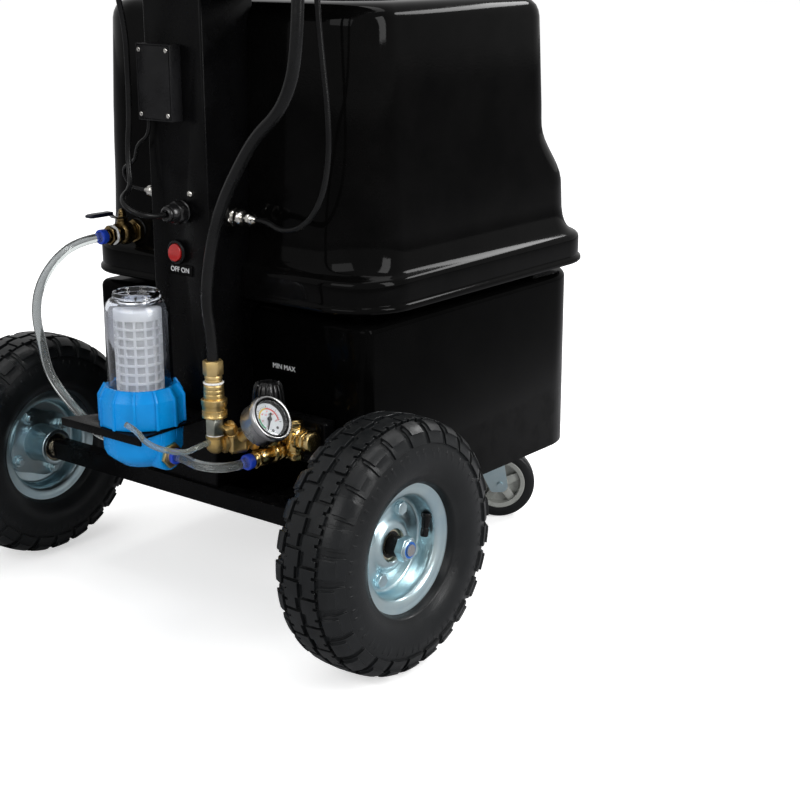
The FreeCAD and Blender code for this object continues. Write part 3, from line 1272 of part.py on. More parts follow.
def control_box():
    box = raised("box_body", [("0", "0", "3"), ("box_width", "0", "3"), ("box_width", "box_height", "3"),
                              ("0", "box_height", "3")], "box_depth",
                 ("box_left", "column_back", "box_bottom"),
                 "-Y", "1.5")
    keep(box, "control_box")


# Hoses, clear tubes and cables, by the points of their routes

SUPPLY = [(-128, -2.65, 390), (-128, -35.5, 390), (-134, -63.5, 373.5), (-145, -77.5, 346),
          (-158.5, -74, 312),
          (-168, -60.5, 277.5), (-161, -59.5, 243.5), (-137, -57, 218.5), (-103.5, -60.5, 202),
          (-71.3, -70, 193),
          (-48, -70, 193)]
FEED = [(48, -70, 193), (61.5, -70, 193), (77, -74, 192), (92.5, -71, 191), (105, -61.5, 190),
        (112, -47.6, 190),
        (112, -32, 190)]
BLEED = [(90, -63.5, 214), (90, -77.5, 214), (85.5, -90, 209.5), (75.5, -100, 211), (62.5, -108, 214),
         (50.5, -113.5, 220), (40.3, -114.7, 230), (27, -116, 234)]
PRESSURE = [(90, -54, 298), (90, -54, 322.3), (85, -55.5, 353.5), (87.5, -53, 390), (97, -52.5, 428.5),
            (115, -54, 464),
            (138.5, -56.5, 496), (163.5, -60, 525), (192, -57.5, 548), (209, -57, 579.5),
            (214.5, -56.5, 618.5),
            (214.5, -53.5, 660.5), (213, -50, 702.8), (213, -50, 745)]
FAN = [(7, -33, 432), (7, -52.9, 432), (-7, -65.5, 438.5), (-27, -61.5, 448.5), (-35.5, -38, 456),
       (-45, -31.5, 475.5),
       (-47, -29.5, 498), (-45, -28, 520), (-44.5, -27.5, 542), (-43.5, -28, 564), (-43, -28.5, 586),
       (-42.5, -29.5, 608), (-41.5, -34, 629.5), (-40, -40, 650.5), (-40, -40, 672)]
MOTOR = [(77.5, 27, 426), (91.4, 27, 426), (115, 24, 418), (144.5, 25.5, 426), (166, 28, 454.5),
         (174.5, 29.5, 496),
         (173.5, 30, 541), (169, 28.5, 587), (166, 26.5, 632), (165, 25, 677.1), (165, 25, 722)]
CONTROL = [(-59.5, 3, 447), (-82.8, 3, 447), (-87, -5, 468.5), (-61.5, -8.5, 477.5), (-54.5, -12, 489),
           (-45.5, -16.5, 498.5), (-30, -14.5, 508), (-30, -14.5, 524)]


def cords():
    """Every route is given by the corner points of its straight runs."""
    keep(tube("supply_line", SUPPLY, size("tube_radius")), "supply_tube")
    keep(tube("feed_line", FEED, size("tube_radius")), "feed_tube")
    keep(tube("bleed_line", BLEED, size("bleed_radius")), "bleed_tube")
    keep(tube("pressure_line", PRESSURE, size("hose_radius")), "pressure_hose")
    keep(tube("fan_line", FAN, size("cable_radius")), "fan_cable")
    keep(tube("motor_line", MOTOR, size("cable_radius")), "motor_cable")
    keep(tube("control_line", CONTROL, size("thin_cable_radius")), "control_cable")


if __name__ == "__main__":
    os.makedirs("parts", exist_ok=True)
    axle()
    axle_nuts()
    wheel("right", "X")
    wheel("left", "-X")
    chassis()
    caster_plates()
    caster("right", "")
    caster("left", "-")
    lower_housing()
    tank()
    tank_cap()
    column()
    saddle()
    drum()
    guard("rear_guard", "%s - drum_half_depth" % DRUM_Y, "-Y")
    guard("front_guard", "%s + drum_half_depth" % DRUM_Y, "Y")
    motor_bracket()
    motor()
    impeller()
    mist_ring()
    filter_unit()
    ball_valve()
    collets()
    pump()
    regulator_knob()
    outlet()
    gauge()
    coupler()
    switch()
    glands()
    control_box()
    cords()
    doc.recompute()

    for thing in doc.Objects:
        if "Invalid" in thing.State or "Error" in thing.State:
            raise RuntimeError("%s failed: %s" % (thing.Name, thing.State))
    for piece in subparts:
        shape = piece.Shape
        if shape.isNull() or not shape.isValid():
            raise RuntimeError("%s has no valid shape" % piece.Label)
    for piece in subparts:
        piece.Shape.exportStep("parts/%s.step" % piece.Label)
        box = piece.Shape.optimalBoundingBox()
        print("%-18s %d solids %10.0f mm3  x %.1f..%.1f  y %.1f..%.1f  z %.1f..%.1f"
              % (piece.Label, len(piece.Shape.Solids), piece.Shape.Volume, box.XMin, box.XMax, box.YMin,
                 box.YMax,
                 box.ZMin, box.ZMax))
    print(len(subparts), "sub-parts")
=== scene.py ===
# %% [markdown]
# # A mobile misting blower, dressed in Blender
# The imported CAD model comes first. It is the fixed frame: every piece that this lesson adds is
# placed in the same metres as the CAD solids, so nothing is fitted by eye.

# %% Load the frame
import math

import bmesh
import bpy
from mathutils import Matrix, Vector


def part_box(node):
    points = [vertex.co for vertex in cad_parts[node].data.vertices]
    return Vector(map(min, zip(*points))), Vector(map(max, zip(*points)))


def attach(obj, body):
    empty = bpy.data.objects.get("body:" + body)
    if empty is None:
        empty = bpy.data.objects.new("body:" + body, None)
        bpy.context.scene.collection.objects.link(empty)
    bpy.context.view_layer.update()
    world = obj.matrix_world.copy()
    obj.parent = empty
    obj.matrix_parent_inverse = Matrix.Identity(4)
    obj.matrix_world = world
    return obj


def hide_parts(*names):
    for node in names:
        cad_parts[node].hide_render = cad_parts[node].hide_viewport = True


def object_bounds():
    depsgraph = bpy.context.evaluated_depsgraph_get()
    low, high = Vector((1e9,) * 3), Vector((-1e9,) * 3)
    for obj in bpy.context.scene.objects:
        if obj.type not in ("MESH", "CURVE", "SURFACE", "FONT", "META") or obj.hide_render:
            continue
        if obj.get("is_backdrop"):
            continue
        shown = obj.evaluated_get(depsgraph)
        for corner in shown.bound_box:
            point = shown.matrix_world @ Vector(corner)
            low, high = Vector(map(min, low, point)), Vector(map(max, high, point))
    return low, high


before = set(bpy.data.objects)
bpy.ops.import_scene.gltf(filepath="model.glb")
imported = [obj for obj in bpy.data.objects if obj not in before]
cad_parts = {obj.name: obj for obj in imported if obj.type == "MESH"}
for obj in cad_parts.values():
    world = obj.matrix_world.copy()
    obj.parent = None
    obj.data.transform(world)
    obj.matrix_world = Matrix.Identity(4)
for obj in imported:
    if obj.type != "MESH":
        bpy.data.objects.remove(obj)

cad_box = [list(corner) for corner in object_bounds()]
print("CAD box", [[round(c, 3) for c in corner] for corner in cad_box])

# %% [markdown]
# ## One place for numbers
# Sizes were taken from the middle of the axle, in millimetres. `at` turns such a place into the
# frame's metres. The shift along Y is read from the axle itself, so it follows the CAD model.

# %% Places in millimetres from the axle
axle_low, axle_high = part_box("axle")
AXLE_Y = (axle_low.y + axle_high.y) / 2
MM = 0.001


def at(x, y, z):
    """A place in millimetres, measured on the ground under the middle of the axle."""
    return Vector((x * MM, y * MM + AXLE_Y, z * MM))


print("axle stands at y =", round(AXLE_Y, 4))

# %% [markdown]
# ## The camera
# The camera is set up before anything else. Its place and lens were worked out from the two wheels
# in the photograph: it looks from the right and slightly from above at the back of the machine.

# %% Camera
camera_data = bpy.data.cameras.new("studio_camera")
camera_data.lens = 71.85
camera_data.sensor_width = 36
camera_data.clip_start = 0.05
camera_data.clip_end = 50
camera = bpy.data.objects.new("studio_camera", camera_data)
bpy.context.scene.collection.objects.link(camera)
look_right = Vector((0.77881645, 0.62724396, -0.00315619))
look_ahead = Vector((-0.6032127, 0.74757945, -0.27795575))
look_up = look_right.cross(look_ahead)
turn = Matrix((look_right, look_up, -look_ahead)).transposed()
camera.matrix_world = Matrix.Translation(at(1198.79, -1132.01, 700.36)) @ turn.to_4x4()
bpy.context.scene.camera = camera
print("camera stands at", [round(c, 3) for c in camera.matrix_world.translation])

# %% [markdown]
# ## Light
# The photograph has the even light of a studio tent. A plain white world gives it, with soft lamps
# from the side, behind, above and the front for the long highlights on the black mouldings. The
# camera sees a bright backdrop through Light Path, and everything else sees a dimmer room, so that
# black stays black.

# %% World and lamps
scene = bpy.context.scene
scene.view_settings.view_transform = "Standard"
world = bpy.data.worlds.new("studio_world")
scene.world = world
world.use_nodes = True


def background(strength):
    """A white background."""
    node = world.node_tree.nodes.new("ShaderNodeBackground")
    node.inputs["Color"].default_value = (1, 1, 1, 1)
    node.inputs["Strength"].default_value = strength
    return node.outputs[0]


def mix_shaders(tree, factor, first, second):
    """The first shader where the factor is 0, the second where it is 1."""
    node = tree.nodes.new("ShaderNodeMixShader")
    for socket, value in zip(node.inputs, (factor, first, second)):
        tree.links.new(value, socket)
    return node.outputs[0]


tree = world.node_tree
tree.nodes.clear()
world_out = tree.nodes.new("ShaderNodeOutputWorld")
path = tree.nodes.new("ShaderNodeLightPath")
seen = tree.nodes.new("ShaderNodeMath")
seen.operation = "MAXIMUM"
tree.links.new(path.outputs["Is Camera Ray"], seen.inputs[0])
tree.links.new(path.outputs["Is Transmission Ray"], seen.inputs[1])
backdrop = mix_shaders(tree, seen.outputs[0], background(0.5), background(1))
tree.links.new(backdrop, world_out.inputs["Surface"])


def soft_lamp(name, place, target, width, height, watts):
    """A large rectangular lamp that faces a point."""
    data = bpy.data.lights.new(name, "AREA")
    data.shape = "RECTANGLE"
    data.size = width
    data.size_y = height
    data.energy = watts
    lamp = bpy.data.objects.new(name, data)
    lamp.location = place
    lamp.rotation_euler = (Vector(target) - Vector(place)).to_track_quat("-Z", "Y").to_euler()
    scene.collection.objects.link(lamp)


soft_lamp("side_lamp", (3, 0.2, 1.9), (0.1, 0, 0.4), 1, 2.4, 62)
soft_lamp("back_lamp", (0.3, -3.2, 2.2), (0, 0, 0.4), 2.6, 1.6, 36)
soft_lamp("top_lamp", (0, 0.4, 3.6), (0, 0, 0.3), 2.4, 2.4, 46)
soft_lamp("front_lamp", (1, 2.9, 2.5), (0.1, 0.1, 0.3), 1.8, 0.5, 34)

# %% [markdown]
# ## Floor
# A pale floor takes the contact shadows. It glows a little, so that it is white to the camera and
# only a shade darker where the wheels keep light off it. Mirrors see a grey floor.

# %% Floor
bpy.ops.object.select_all(action="DESELECT")
bpy.ops.mesh.primitive_plane_add(size=30, location=(0, 0, 0))
floor = bpy.context.object
floor.name = "studio_floor"
floor_look = bpy.data.materials.new("studio_floor")
floor_look.use_nodes = True
tree = floor_look.node_tree
tree.nodes.clear()
floor_out = tree.nodes.new("ShaderNodeOutputMaterial")
path = tree.nodes.new("ShaderNodeLightPath")


def matte(*tone):
    """A matte shader of the floor."""
    node = tree.nodes.new("ShaderNodeBsdfDiffuse")
    node.inputs["Color"].default_value = (*tone, 1)
    return node.outputs[0]


pale = matte(0.93, 0.93, 0.93)
glow = tree.nodes.new("ShaderNodeEmission")
glow.inputs["Strength"].default_value = 0.55
lit = tree.nodes.new("ShaderNodeAddShader")
tree.links.new(pale, lit.inputs[0])
tree.links.new(glow.outputs[0], lit.inputs[1])
mirrored = mix_shaders(tree, path.outputs["Is Glossy Ray"], pale, matte(0.34, 0.34, 0.35))
seen = mix_shaders(tree, path.outputs["Is Camera Ray"], mirrored, lit.outputs[0])
tree.links.new(seen, floor_out.inputs["Surface"])
floor.data.materials.append(floor_look)
floor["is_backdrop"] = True

# %% [markdown]
# ## Shader groups
# Real surfaces vary. Moulded plastic has a faint orange peel, cast brass is mottled, plated sheet
# carries bluish and yellowish bands, and everything picks up handling marks. Each effect is a node
# group with named sockets, built once and placed in a material with values of its own.


# %% How a group is made
def new_group(name, inputs, outputs):
    """An empty shader node group with named sockets; inputs carry a default value."""
    group = bpy.data.node_groups.new(name, "ShaderNodeTree")
    for label, value in inputs.items():
        socket = group.interface.new_socket(name=label, in_out="INPUT", socket_type="NodeSocketFloat")
        socket.default_value = value
    for label in outputs:
        group.interface.new_socket(name=label, in_out="OUTPUT", socket_type="NodeSocketFloat")
    start = group.nodes.new("NodeGroupInput")
    end = group.nodes.new("NodeGroupOutput")
    place = group.nodes.new("ShaderNodeTexCoord")
    return group, start, end, place


def noise(group, start, place, scale, detail=4, roughness=0.55, stretch=None):
    """A noise texture on object coordinates, its scale taken from a socket of the group."""
    texture = group.nodes.new("ShaderNodeTexNoise")
    texture.inputs["Detail"].default_value = detail
    texture.inputs["Roughness"].default_value = roughness
    vector = place.outputs["Object"]
    if stretch:
        mapping = group.nodes.new("ShaderNodeMapping")
        mapping.inputs["Scale"].default_value = stretch
        group.links.new(vector, mapping.inputs["Vector"])
        vector = mapping.outputs["Vector"]
    group.links.new(vector, texture.inputs["Vector"])
    group.links.new(start.outputs[scale], texture.inputs["Scale"])
    return texture.outputs["Fac"]


def spread(group, value, low, high, to_low=0, to_high=1):
    """Map a value from one range to another, clamped."""
    node = group.nodes.new("ShaderNodeMapRange")
    node.inputs["From Min"].default_value = low
    node.inputs["From Max"].default_value = high
    node.inputs["To Min"].default_value = to_low
    node.inputs["To Max"].default_value = to_high
    group.links.new(value, node.inputs["Value"])
    return node.outputs["Result"]


def times(group, first, second):
    node = group.nodes.new("ShaderNodeMath")
    node.operation = "MULTIPLY"
    for socket, value in zip(node.inputs, (first, second)):
        if isinstance(value, (int, float)):
            socket.default_value = value
        else:
            group.links.new(value, socket)
    return node.outputs[0]


# %% [markdown]
# `skin_grain` is the fine relief of a moulded or painted skin. `mottle` is a slow change over a
# hand's width, used for colour. `handling` is a mask of smudges for roughness. `brushed` is a fine
# relief stretched along one axis, as on rolled sheet and turned brass. `dust` settles on what
# faces up.

# %% The groups
skin_grain, start, end, place = new_group("skin_grain", {"Scale": 900, "Depth": 1}, ["Height"])
fine = noise(skin_grain, start, place, "Scale", 3)
skin_grain.links.new(times(skin_grain, fine, start.outputs["Depth"]), end.inputs["Height"])

mottle, start, end, place = new_group("mottle", {"Scale": 18, "Contrast": 1}, ["Mask"])
slow = spread(mottle, noise(mottle, start, place, "Scale", 5, 0.6), 0.35, 0.68)
mottle.links.new(times(mottle, slow, start.outputs["Contrast"]), end.inputs["Mask"])

handling, start, end, place = new_group("handling", {"Scale": 30, "Amount": 1}, ["Mask"])
smudge = spread(handling, noise(handling, start, place, "Scale", 8, 0.7), 0.48, 0.66)
handling.links.new(times(handling, smudge, start.outputs["Amount"]), end.inputs["Mask"])

brushed, start, end, place = new_group("brushed", {"Scale": 60, "Depth": 1}, ["Height"])
lines = noise(brushed, start, place, "Scale", 2, 0.5, (1, 1, 26))
brushed.links.new(times(brushed, lines, start.outputs["Depth"]), end.inputs["Height"])

dust, start, end, place = new_group("dust", {"Scale": 70, "Amount": 1}, ["Mask"])
geometry = dust.nodes.new("ShaderNodeNewGeometry")
split = dust.nodes.new("ShaderNodeSeparateXYZ")
dust.links.new(geometry.outputs["Normal"], split.inputs[0])
faces_up = spread(dust, split.outputs["Z"], 0.55, 1)
specks = spread(dust, noise(dust, start, place, "Scale", 9, 0.75), 0.42, 0.72)
dust.links.new(times(dust, times(dust, faces_up, specks), start.outputs["Amount"]), end.inputs["Mask"])
print("shader groups:", [g.name for g in bpy.data.node_groups])

# %% [markdown]
# ## Materials
# Every finish is one Principled shader with the groups in front of it: `mottle` moves the base
# colour between two tones, `handling` moves the roughness, and a grain goes through a Bump node.


# %% How a finish is made
def finish(name, tones, rough, metallic=0, grain=(900, 0.15), patches=18, smears=30, relief=None, dusty=0,
        **plain):
    """A procedural finish. tones and rough are pairs; plain values go on the shader's own sockets."""
    look = bpy.data.materials.new(name)
    look.use_nodes = True
    tree = look.node_tree
    shader = tree.nodes["Principled BSDF"]
    shader.inputs["Metallic"].default_value = metallic
    for label, value in plain.items():
        shader.inputs[label.replace("_", " ")].default_value = value

    def group(kind, **values):
        node = tree.nodes.new("ShaderNodeGroup")
        node.node_tree = kind
        for label, value in values.items():
            node.inputs[label].default_value = value
        return node

    colour = tree.nodes.new("ShaderNodeMix")
    colour.data_type = "RGBA"
    colour.inputs["A"].default_value = (*tones[0], 1)
    colour.inputs["B"].default_value = (*tones[1], 1)
    tree.links.new(group(mottle, Scale=patches).outputs["Mask"], colour.inputs["Factor"])
    base = colour.outputs["Result"]
    if dusty:
        dusted = tree.nodes.new("ShaderNodeMix")
        dusted.data_type = "RGBA"
        dusted.inputs["B"].default_value = (0.34, 0.33, 0.31, 1)
        tree.links.new(group(dust, Amount=dusty).outputs["Mask"], dusted.inputs["Factor"])
        tree.links.new(base, dusted.inputs["A"])
        base = dusted.outputs["Result"]
    tree.links.new(base, shader.inputs["Base Color"])
    worn = tree.nodes.new("ShaderNodeMapRange")
    worn.inputs["To Min"].default_value = rough[0]
    worn.inputs["To Max"].default_value = rough[1]
    tree.links.new(group(handling, Scale=smears).outputs["Mask"], worn.inputs["Value"])
    tree.links.new(worn.outputs["Result"], shader.inputs["Roughness"])
    bump = tree.nodes.new("ShaderNodeBump")
    bump.inputs["Strength"].default_value = grain[1]
    bump.inputs["Distance"].default_value = 0.0006
    kind = relief or skin_grain
    tree.links.new(group(kind, Scale=grain[0]).outputs["Height"], bump.inputs["Height"])
    tree.links.new(bump.outputs["Normal"], shader.inputs["Normal"])
    return look


# %% The finishes
gloss_black = finish("gloss_black_moulding", ((0.0012, 0.0012, 0.0012), (0.0024, 0.0023, 0.0023)),
    (0.07, 0.11), grain=(420, 0.04), dusty=0.004, Specular_IOR_Level=0.07)
housing_black = finish("housing_black_moulding", ((0.001, 0.001, 0.001), (0.0018, 0.0018, 0.0018)),
    (0.07, 0.11), grain=(420, 0.04), dusty=0.003, Specular_IOR_Level=0.02)
frame_black = finish("satin_black_paint", ((0.0014, 0.0014, 0.0016), (0.003, 0.003, 0.0033)), (0.26, 0.4),
    grain=(1500, 0.16), dusty=0.015, Specular_IOR_Level=0.08)
powder_black = finish("powder_black_paint", ((0.005, 0.005, 0.0055), (0.01, 0.01, 0.011)), (0.26, 0.38),
    grain=(1500, 0.16), dusty=0.02, Specular_IOR_Level=0.24)
plastic_black = finish("black_plastic", ((0.006, 0.006, 0.0065), (0.012, 0.012, 0.013)), (0.26, 0.4),
    grain=(1800, 0.16), dusty=0.03, Specular_IOR_Level=0.18)
tyre_rubber = finish("tyre_rubber", ((0.0055, 0.0062, 0.0068), (0.011, 0.012, 0.013)), (0.28, 0.46),
    grain=(700, 0.3), patches=14, dusty=0.04, Specular_IOR_Level=0.26)
caster_rubber = finish("caster_rubber", ((0.006, 0.0065, 0.007), (0.011, 0.012, 0.013)), (0.28, 0.42),
    grain=(1400, 0.2), dusty=0.04, Specular_IOR_Level=0.25)
hose_rubber = finish("hose_rubber", ((0.003, 0.003, 0.0032), (0.006, 0.0062, 0.0065)), (0.24, 0.36),
    grain=(2200, 0.08), dusty=0.015, Specular_IOR_Level=0.24)
zinc = finish("zinc_plate", ((0.52, 0.68, 0.75), (0.65, 0.78, 0.8)), (0.28, 0.4), 1, grain=(900, 0.1),
    patches=26, dusty=0.04)
steel = finish("bare_steel", ((0.44, 0.44, 0.45), (0.6, 0.6, 0.59)), (0.2, 0.36), 1, grain=(80, 0.12),
    relief=brushed)
nickel = finish("nickel_plate", ((0.66, 0.64, 0.6), (0.8, 0.78, 0.74)), (0.1, 0.24), 1, grain=(600, 0.06))
brass = finish("turned_brass", ((0.66, 0.46, 0.17), (0.84, 0.63, 0.3)), (0.34, 0.48), 1, grain=(90, 0.16),
    patches=60, relief=brushed, dusty=0.05)
dark_zinc = finish("dark_zinc", ((0.34, 0.36, 0.31), (0.5, 0.5, 0.44)), (0.3, 0.44), 1, grain=(900, 0.16),
    patches=80)
race_steel = finish("race_steel", ((0.54, 0.48, 0.34), (0.64, 0.58, 0.44)), (0.2, 0.32), 1,
    grain=(900, 0.06))
# Darker, browner brass for the valve: partly its own older tone, partly painted shade from the column.
bronze_and_shade = finish("bronze_and_painted_shade", ((0.15, 0.1, 0.04), (0.27, 0.19, 0.08)), (0.22, 0.38), 1, grain=(900, 0.2),
    patches=70, dusty=0.02)
shiny_brass = finish("shiny_brass", ((0.74, 0.51, 0.18), (0.94, 0.73, 0.36)), (0.18, 0.32), 1,
    grain=(900, 0.22), patches=60, dusty=0.02)
cast_brass = finish("cast_brass", ((0.5, 0.33, 0.11), (0.74, 0.54, 0.24)), (0.28, 0.46), 1,
    grain=(1500, 0.45), patches=70, dusty=0.08)
filter_blue = finish("filter_blue", ((0.001, 0.21, 0.6), (0.002, 0.27, 0.7)), (0.24, 0.36),
    grain=(1600, 0.1), dusty=0.01, Specular_IOR_Level=0.22)
collet_blue = finish("collet_blue", ((0.01, 0.045, 0.42), (0.014, 0.06, 0.52)), (0.28, 0.4),
    grain=(1600, 0.1))
clear_plastic = finish("clear_plastic", ((0.94, 0.96, 0.98), (0.97, 0.98, 0.99)), (0.02, 0.07),
    grain=(500, 0.03), Transmission_Weight=1, IOR=1.45)
clear_tube = finish("clear_tube", ((0.78, 0.83, 0.82), (0.85, 0.89, 0.88)), (0.04, 0.12), grain=(500, 0.03),
    Transmission_Weight=0.94, IOR=1.38)
milky_tube = finish("milky_tube", ((0.5, 0.55, 0.51), (0.6, 0.64, 0.6)), (0.08, 0.16), grain=(500, 0.03),
    Transmission_Weight=0.86, IOR=1.38)
white_plastic = finish("white_plastic", ((0.76, 0.77, 0.77), (0.84, 0.84, 0.84)), (0.34, 0.46),
    grain=(1500, 0.1))
filter_cloth = finish("filter_cloth", ((0.62, 0.62, 0.61), (0.72, 0.72, 0.72)), (0.6, 0.8),
    grain=(2600, 0.6))
dial_white = finish("dial_white", ((0.8, 0.81, 0.82), (0.86, 0.87, 0.88)), (0.42, 0.5), grain=(1500, 0.02))
switch_red = finish("switch_red", ((0.38, 0.008, 0.008), (0.5, 0.018, 0.016)), (0.12, 0.22),
    grain=(800, 0.05), Coat_Weight=0.4)
caster_grey = finish("caster_core_grey", ((0.26, 0.27, 0.25), (0.34, 0.35, 0.33)), (0.26, 0.4),
    grain=(1200, 0.1), dusty=0.05)
deep_black = finish("deep_black_plastic", ((0.004, 0.004, 0.0043), (0.008, 0.008, 0.0085)), (0.2, 0.3),
    grain=(900, 0.06), dusty=0.01, Specular_IOR_Level=0.55)
cage_white = finish("cage_white", ((0.9, 0.9, 0.89), (0.95, 0.95, 0.94)), (0.3, 0.42), grain=(1500, 0.1))
print(len(bpy.data.materials), "materials")

# %% [markdown]
# ## Cords first
# The cords are drawn by the same corner points as in the CAD source, as smooth splines with those
# points as control points. A round bevel gives the thickness.

# %% Routes
ROUTES = {
    "supply_tube": [(-128, -2.65, 390), (-128, -35.5, 390), (-134, -63.5, 373.5), (-145, -77.5, 346),
        (-158.5, -74, 312), (-168, -60.5, 277.5), (-161, -59.5, 243.5), (-137, -57, 218.5),
        (-103.5, -60.5, 202), (-71.3, -70, 193), (-48, -70, 193)],
    "feed_tube": [(48, -70, 193), (61.5, -70, 193), (77, -74, 192), (92.5, -71, 191), (105, -61.5, 190),
        (112, -47.6, 190), (112, -32, 190)],
    "bleed_tube": [(90, -63.5, 214), (90, -77.5, 214), (85.5, -90, 209.5), (75.5, -100, 211),
        (62.5, -108, 214), (50.5, -113.5, 220), (40.3, -114.7, 230), (27, -116, 234)],
    "pressure_hose": [(90, -54, 298), (90, -54, 322.3), (85, -55.5, 353.5), (87.5, -53, 390),
        (97, -52.5, 428.5), (115, -54, 464), (138.5, -56.5, 496), (163.5, -60, 525), (192, -57.5, 548),
        (209, -57, 579.5), (214.5, -56.5, 618.5), (214.5, -53.5, 660.5), (213, -50, 702.8),
        (213, -50, 745)],
    "fan_cable": [(7, -33, 432), (7, -52.9, 432), (-7, -65.5, 438.5), (-27, -61.5, 448.5),
        (-35.5, -38, 456), (-45, -31.5, 475.5), (-47, -29.5, 498), (-45, -28, 520), (-44.5, -27.5, 542),
        (-43.5, -28, 564), (-43, -28.5, 586), (-42.5, -29.5, 608), (-41.5, -34, 629.5), (-40, -40, 650.5),
        (-40, -40, 672)],
    "motor_cable": [(77.5, 27, 426), (91.4, 27, 426), (115, 24, 418), (144.5, 25.5, 426), (166, 28, 454.5),
        (174.5, 29.5, 496), (173.5, 30, 541), (169, 28.5, 587), (166, 26.5, 632), (165, 25, 677.1),
        (165, 25, 722)],
    "control_cable": [(-59.5, 3, 447), (-82.8, 3, 447), (-87, -5, 468.5), (-61.5, -8.5, 477.5),
        (-54.5, -12, 489), (-45.5, -16.5, 498.5), (-30, -14.5, 508), (-30, -14.5, 524)],
}


# %% Drawing a cord
def draw_cord(node, thickness, look):
    """A smooth cord along a route's points, put in place of its CAD solid."""
    data = bpy.data.curves.new(node + "_line", "CURVE")
    data.dimensions = "3D"
    spline = data.splines.new("NURBS")
    points = [at(*point) for point in ROUTES[node]]
    spline.points.add(len(points) - 1)
    for spot, point in zip(spline.points, points):
        spot.co = (*point, 1)
    spline.order_u = 3
    spline.use_endpoint_u = True
    spline.resolution_u = 8
    data.bevel_depth = thickness / 2
    data.bevel_resolution = 6
    data.use_fill_caps = True
    data.materials.append(look)
    cord = bpy.data.objects.new(node + "_line", data)
    scene.collection.objects.link(cord)
    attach(cord, "chassis")
    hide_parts(node)
    tuple(points[0])


draw_cord("supply_tube", 0.01, clear_tube)
draw_cord("feed_tube", 0.01, clear_tube)
draw_cord("bleed_tube", 0.006, milky_tube)
draw_cord("pressure_hose", 0.012, hose_rubber)
draw_cord("fan_cable", 0.006, hose_rubber)
draw_cord("motor_cable", 0.006, hose_rubber)
draw_cord("control_cable", 0.004, hose_rubber)

# %% [markdown]
# ## Tools for modelling
# Every new piece starts as a primitive or as a single point that is extruded along a profile. It
# is shaped in edit mode, where faces are picked by their place, and finished with a bevel that is
# applied. A round piece is modelled upright around Z and then laid into its place, so that its
# object ends at the origin, unturned and unscaled.


# %% Selecting and editing
CLOSE = 0.00001
SMOOTH_ANGLE = 40


def only(piece):
    """This piece alone is selected and active."""
    bpy.ops.object.select_all(action="DESELECT")
    bpy.context.view_layer.objects.active = piece
    piece.select_set(True)


def bake():
    """The place, turn and scale of what is selected go into its mesh."""
    bpy.ops.object.transform_apply(location=True, rotation=True, scale=True)


def edit(piece):
    """Only this piece is selected, open in edit mode with nothing picked."""
    only(piece)
    bpy.ops.object.mode_set(mode="EDIT")
    bpy.ops.mesh.select_mode(type="FACE")
    bpy.ops.mesh.select_all(action="DESELECT")


def leave():
    bpy.ops.object.mode_set(mode="OBJECT")


def pick(piece, test):
    """Pick the faces whose centre and normal pass a test. The piece is open in edit mode."""
    bpy.ops.mesh.select_all(action="DESELECT")
    body = bmesh.from_edit_mesh(piece.data)
    found = 0
    for face in body.faces:
        if test(face.calc_center_median() / MM, face.normal):
            face.select_set(True)
            found += 1
    bmesh.update_edit_mesh(piece.data)
    return found


def radius_of(centre):
    return math.hypot(centre.x, centre.y)


def step_of(centre, steps):
    """Which of some equal steps around Z a place lies in."""
    return int((math.degrees(math.atan2(centre.y, centre.x)) % 360) / 360 * steps)


# %% [markdown]
# The next tools change what is picked in edit mode. All their lengths are in millimetres.


# %% Changing what is picked
def everything():
    bpy.ops.mesh.select_all(action="SELECT")


def face_outwards():
    """All faces of the open mesh point out."""
    everything()
    bpy.ops.mesh.normals_make_consistent(inside=False)


def extrude(x, y, z):
    bpy.ops.mesh.extrude_region_move(TRANSFORM_OT_translate={"value": (x * MM, y * MM, z * MM)})


def swell(height):
    """Extrude faces along their normals, or into the piece by a negative height."""
    bpy.ops.mesh.extrude_region_shrink_fatten(TRANSFORM_OT_shrink_fatten={"value": height * MM})


def shift(x, y, z):
    bpy.ops.transform.translate(value=(x * MM, y * MM, z * MM))


def stretch(x, y, z, **around):
    bpy.ops.transform.resize(value=(x, y, z), **around)


def inset(width, **how):
    bpy.ops.mesh.inset(thickness=width * MM, **how)


def raise_faces(piece, test, height):
    """Pick faces and extrude them along their normals."""
    found = pick(piece, test)
    swell(height)
    return found


# %% Adding and finishing
def add(kind, name, **sizes):
    """A primitive under its own name, in millimetres."""
    bpy.ops.object.select_all(action="DESELECT")
    for key in ("radius", "depth", "size"):
        if key in sizes:
            sizes[key] *= MM
    getattr(bpy.ops.mesh, "primitive_%s_add" % kind)(**sizes)
    piece = bpy.context.object
    piece.name = name
    return piece


def block(name, size, place=(0, 0, 0)):
    """A block of a size around a place, as the start of a piece."""
    piece = add("cube", name, size=1)
    piece.scale = size
    piece.location = [p * MM for p in place]
    bake()
    return piece


def soften(piece, width, segments=2, angle=32):
    """Round the sharp edges by a bevel that is applied, then shade smooth by angle."""
    only(piece)
    if width:
        bevel = piece.modifiers.new("edge", "BEVEL")
        bevel.width = width * MM
        bevel.segments = segments
        bevel.limit_method = "ANGLE"
        bevel.angle_limit = math.radians(angle)
        bpy.ops.object.modifier_apply(modifier=bevel.name)
    bpy.ops.object.shade_smooth_by_angle(angle=math.radians(SMOOTH_ANGLE))
    return piece


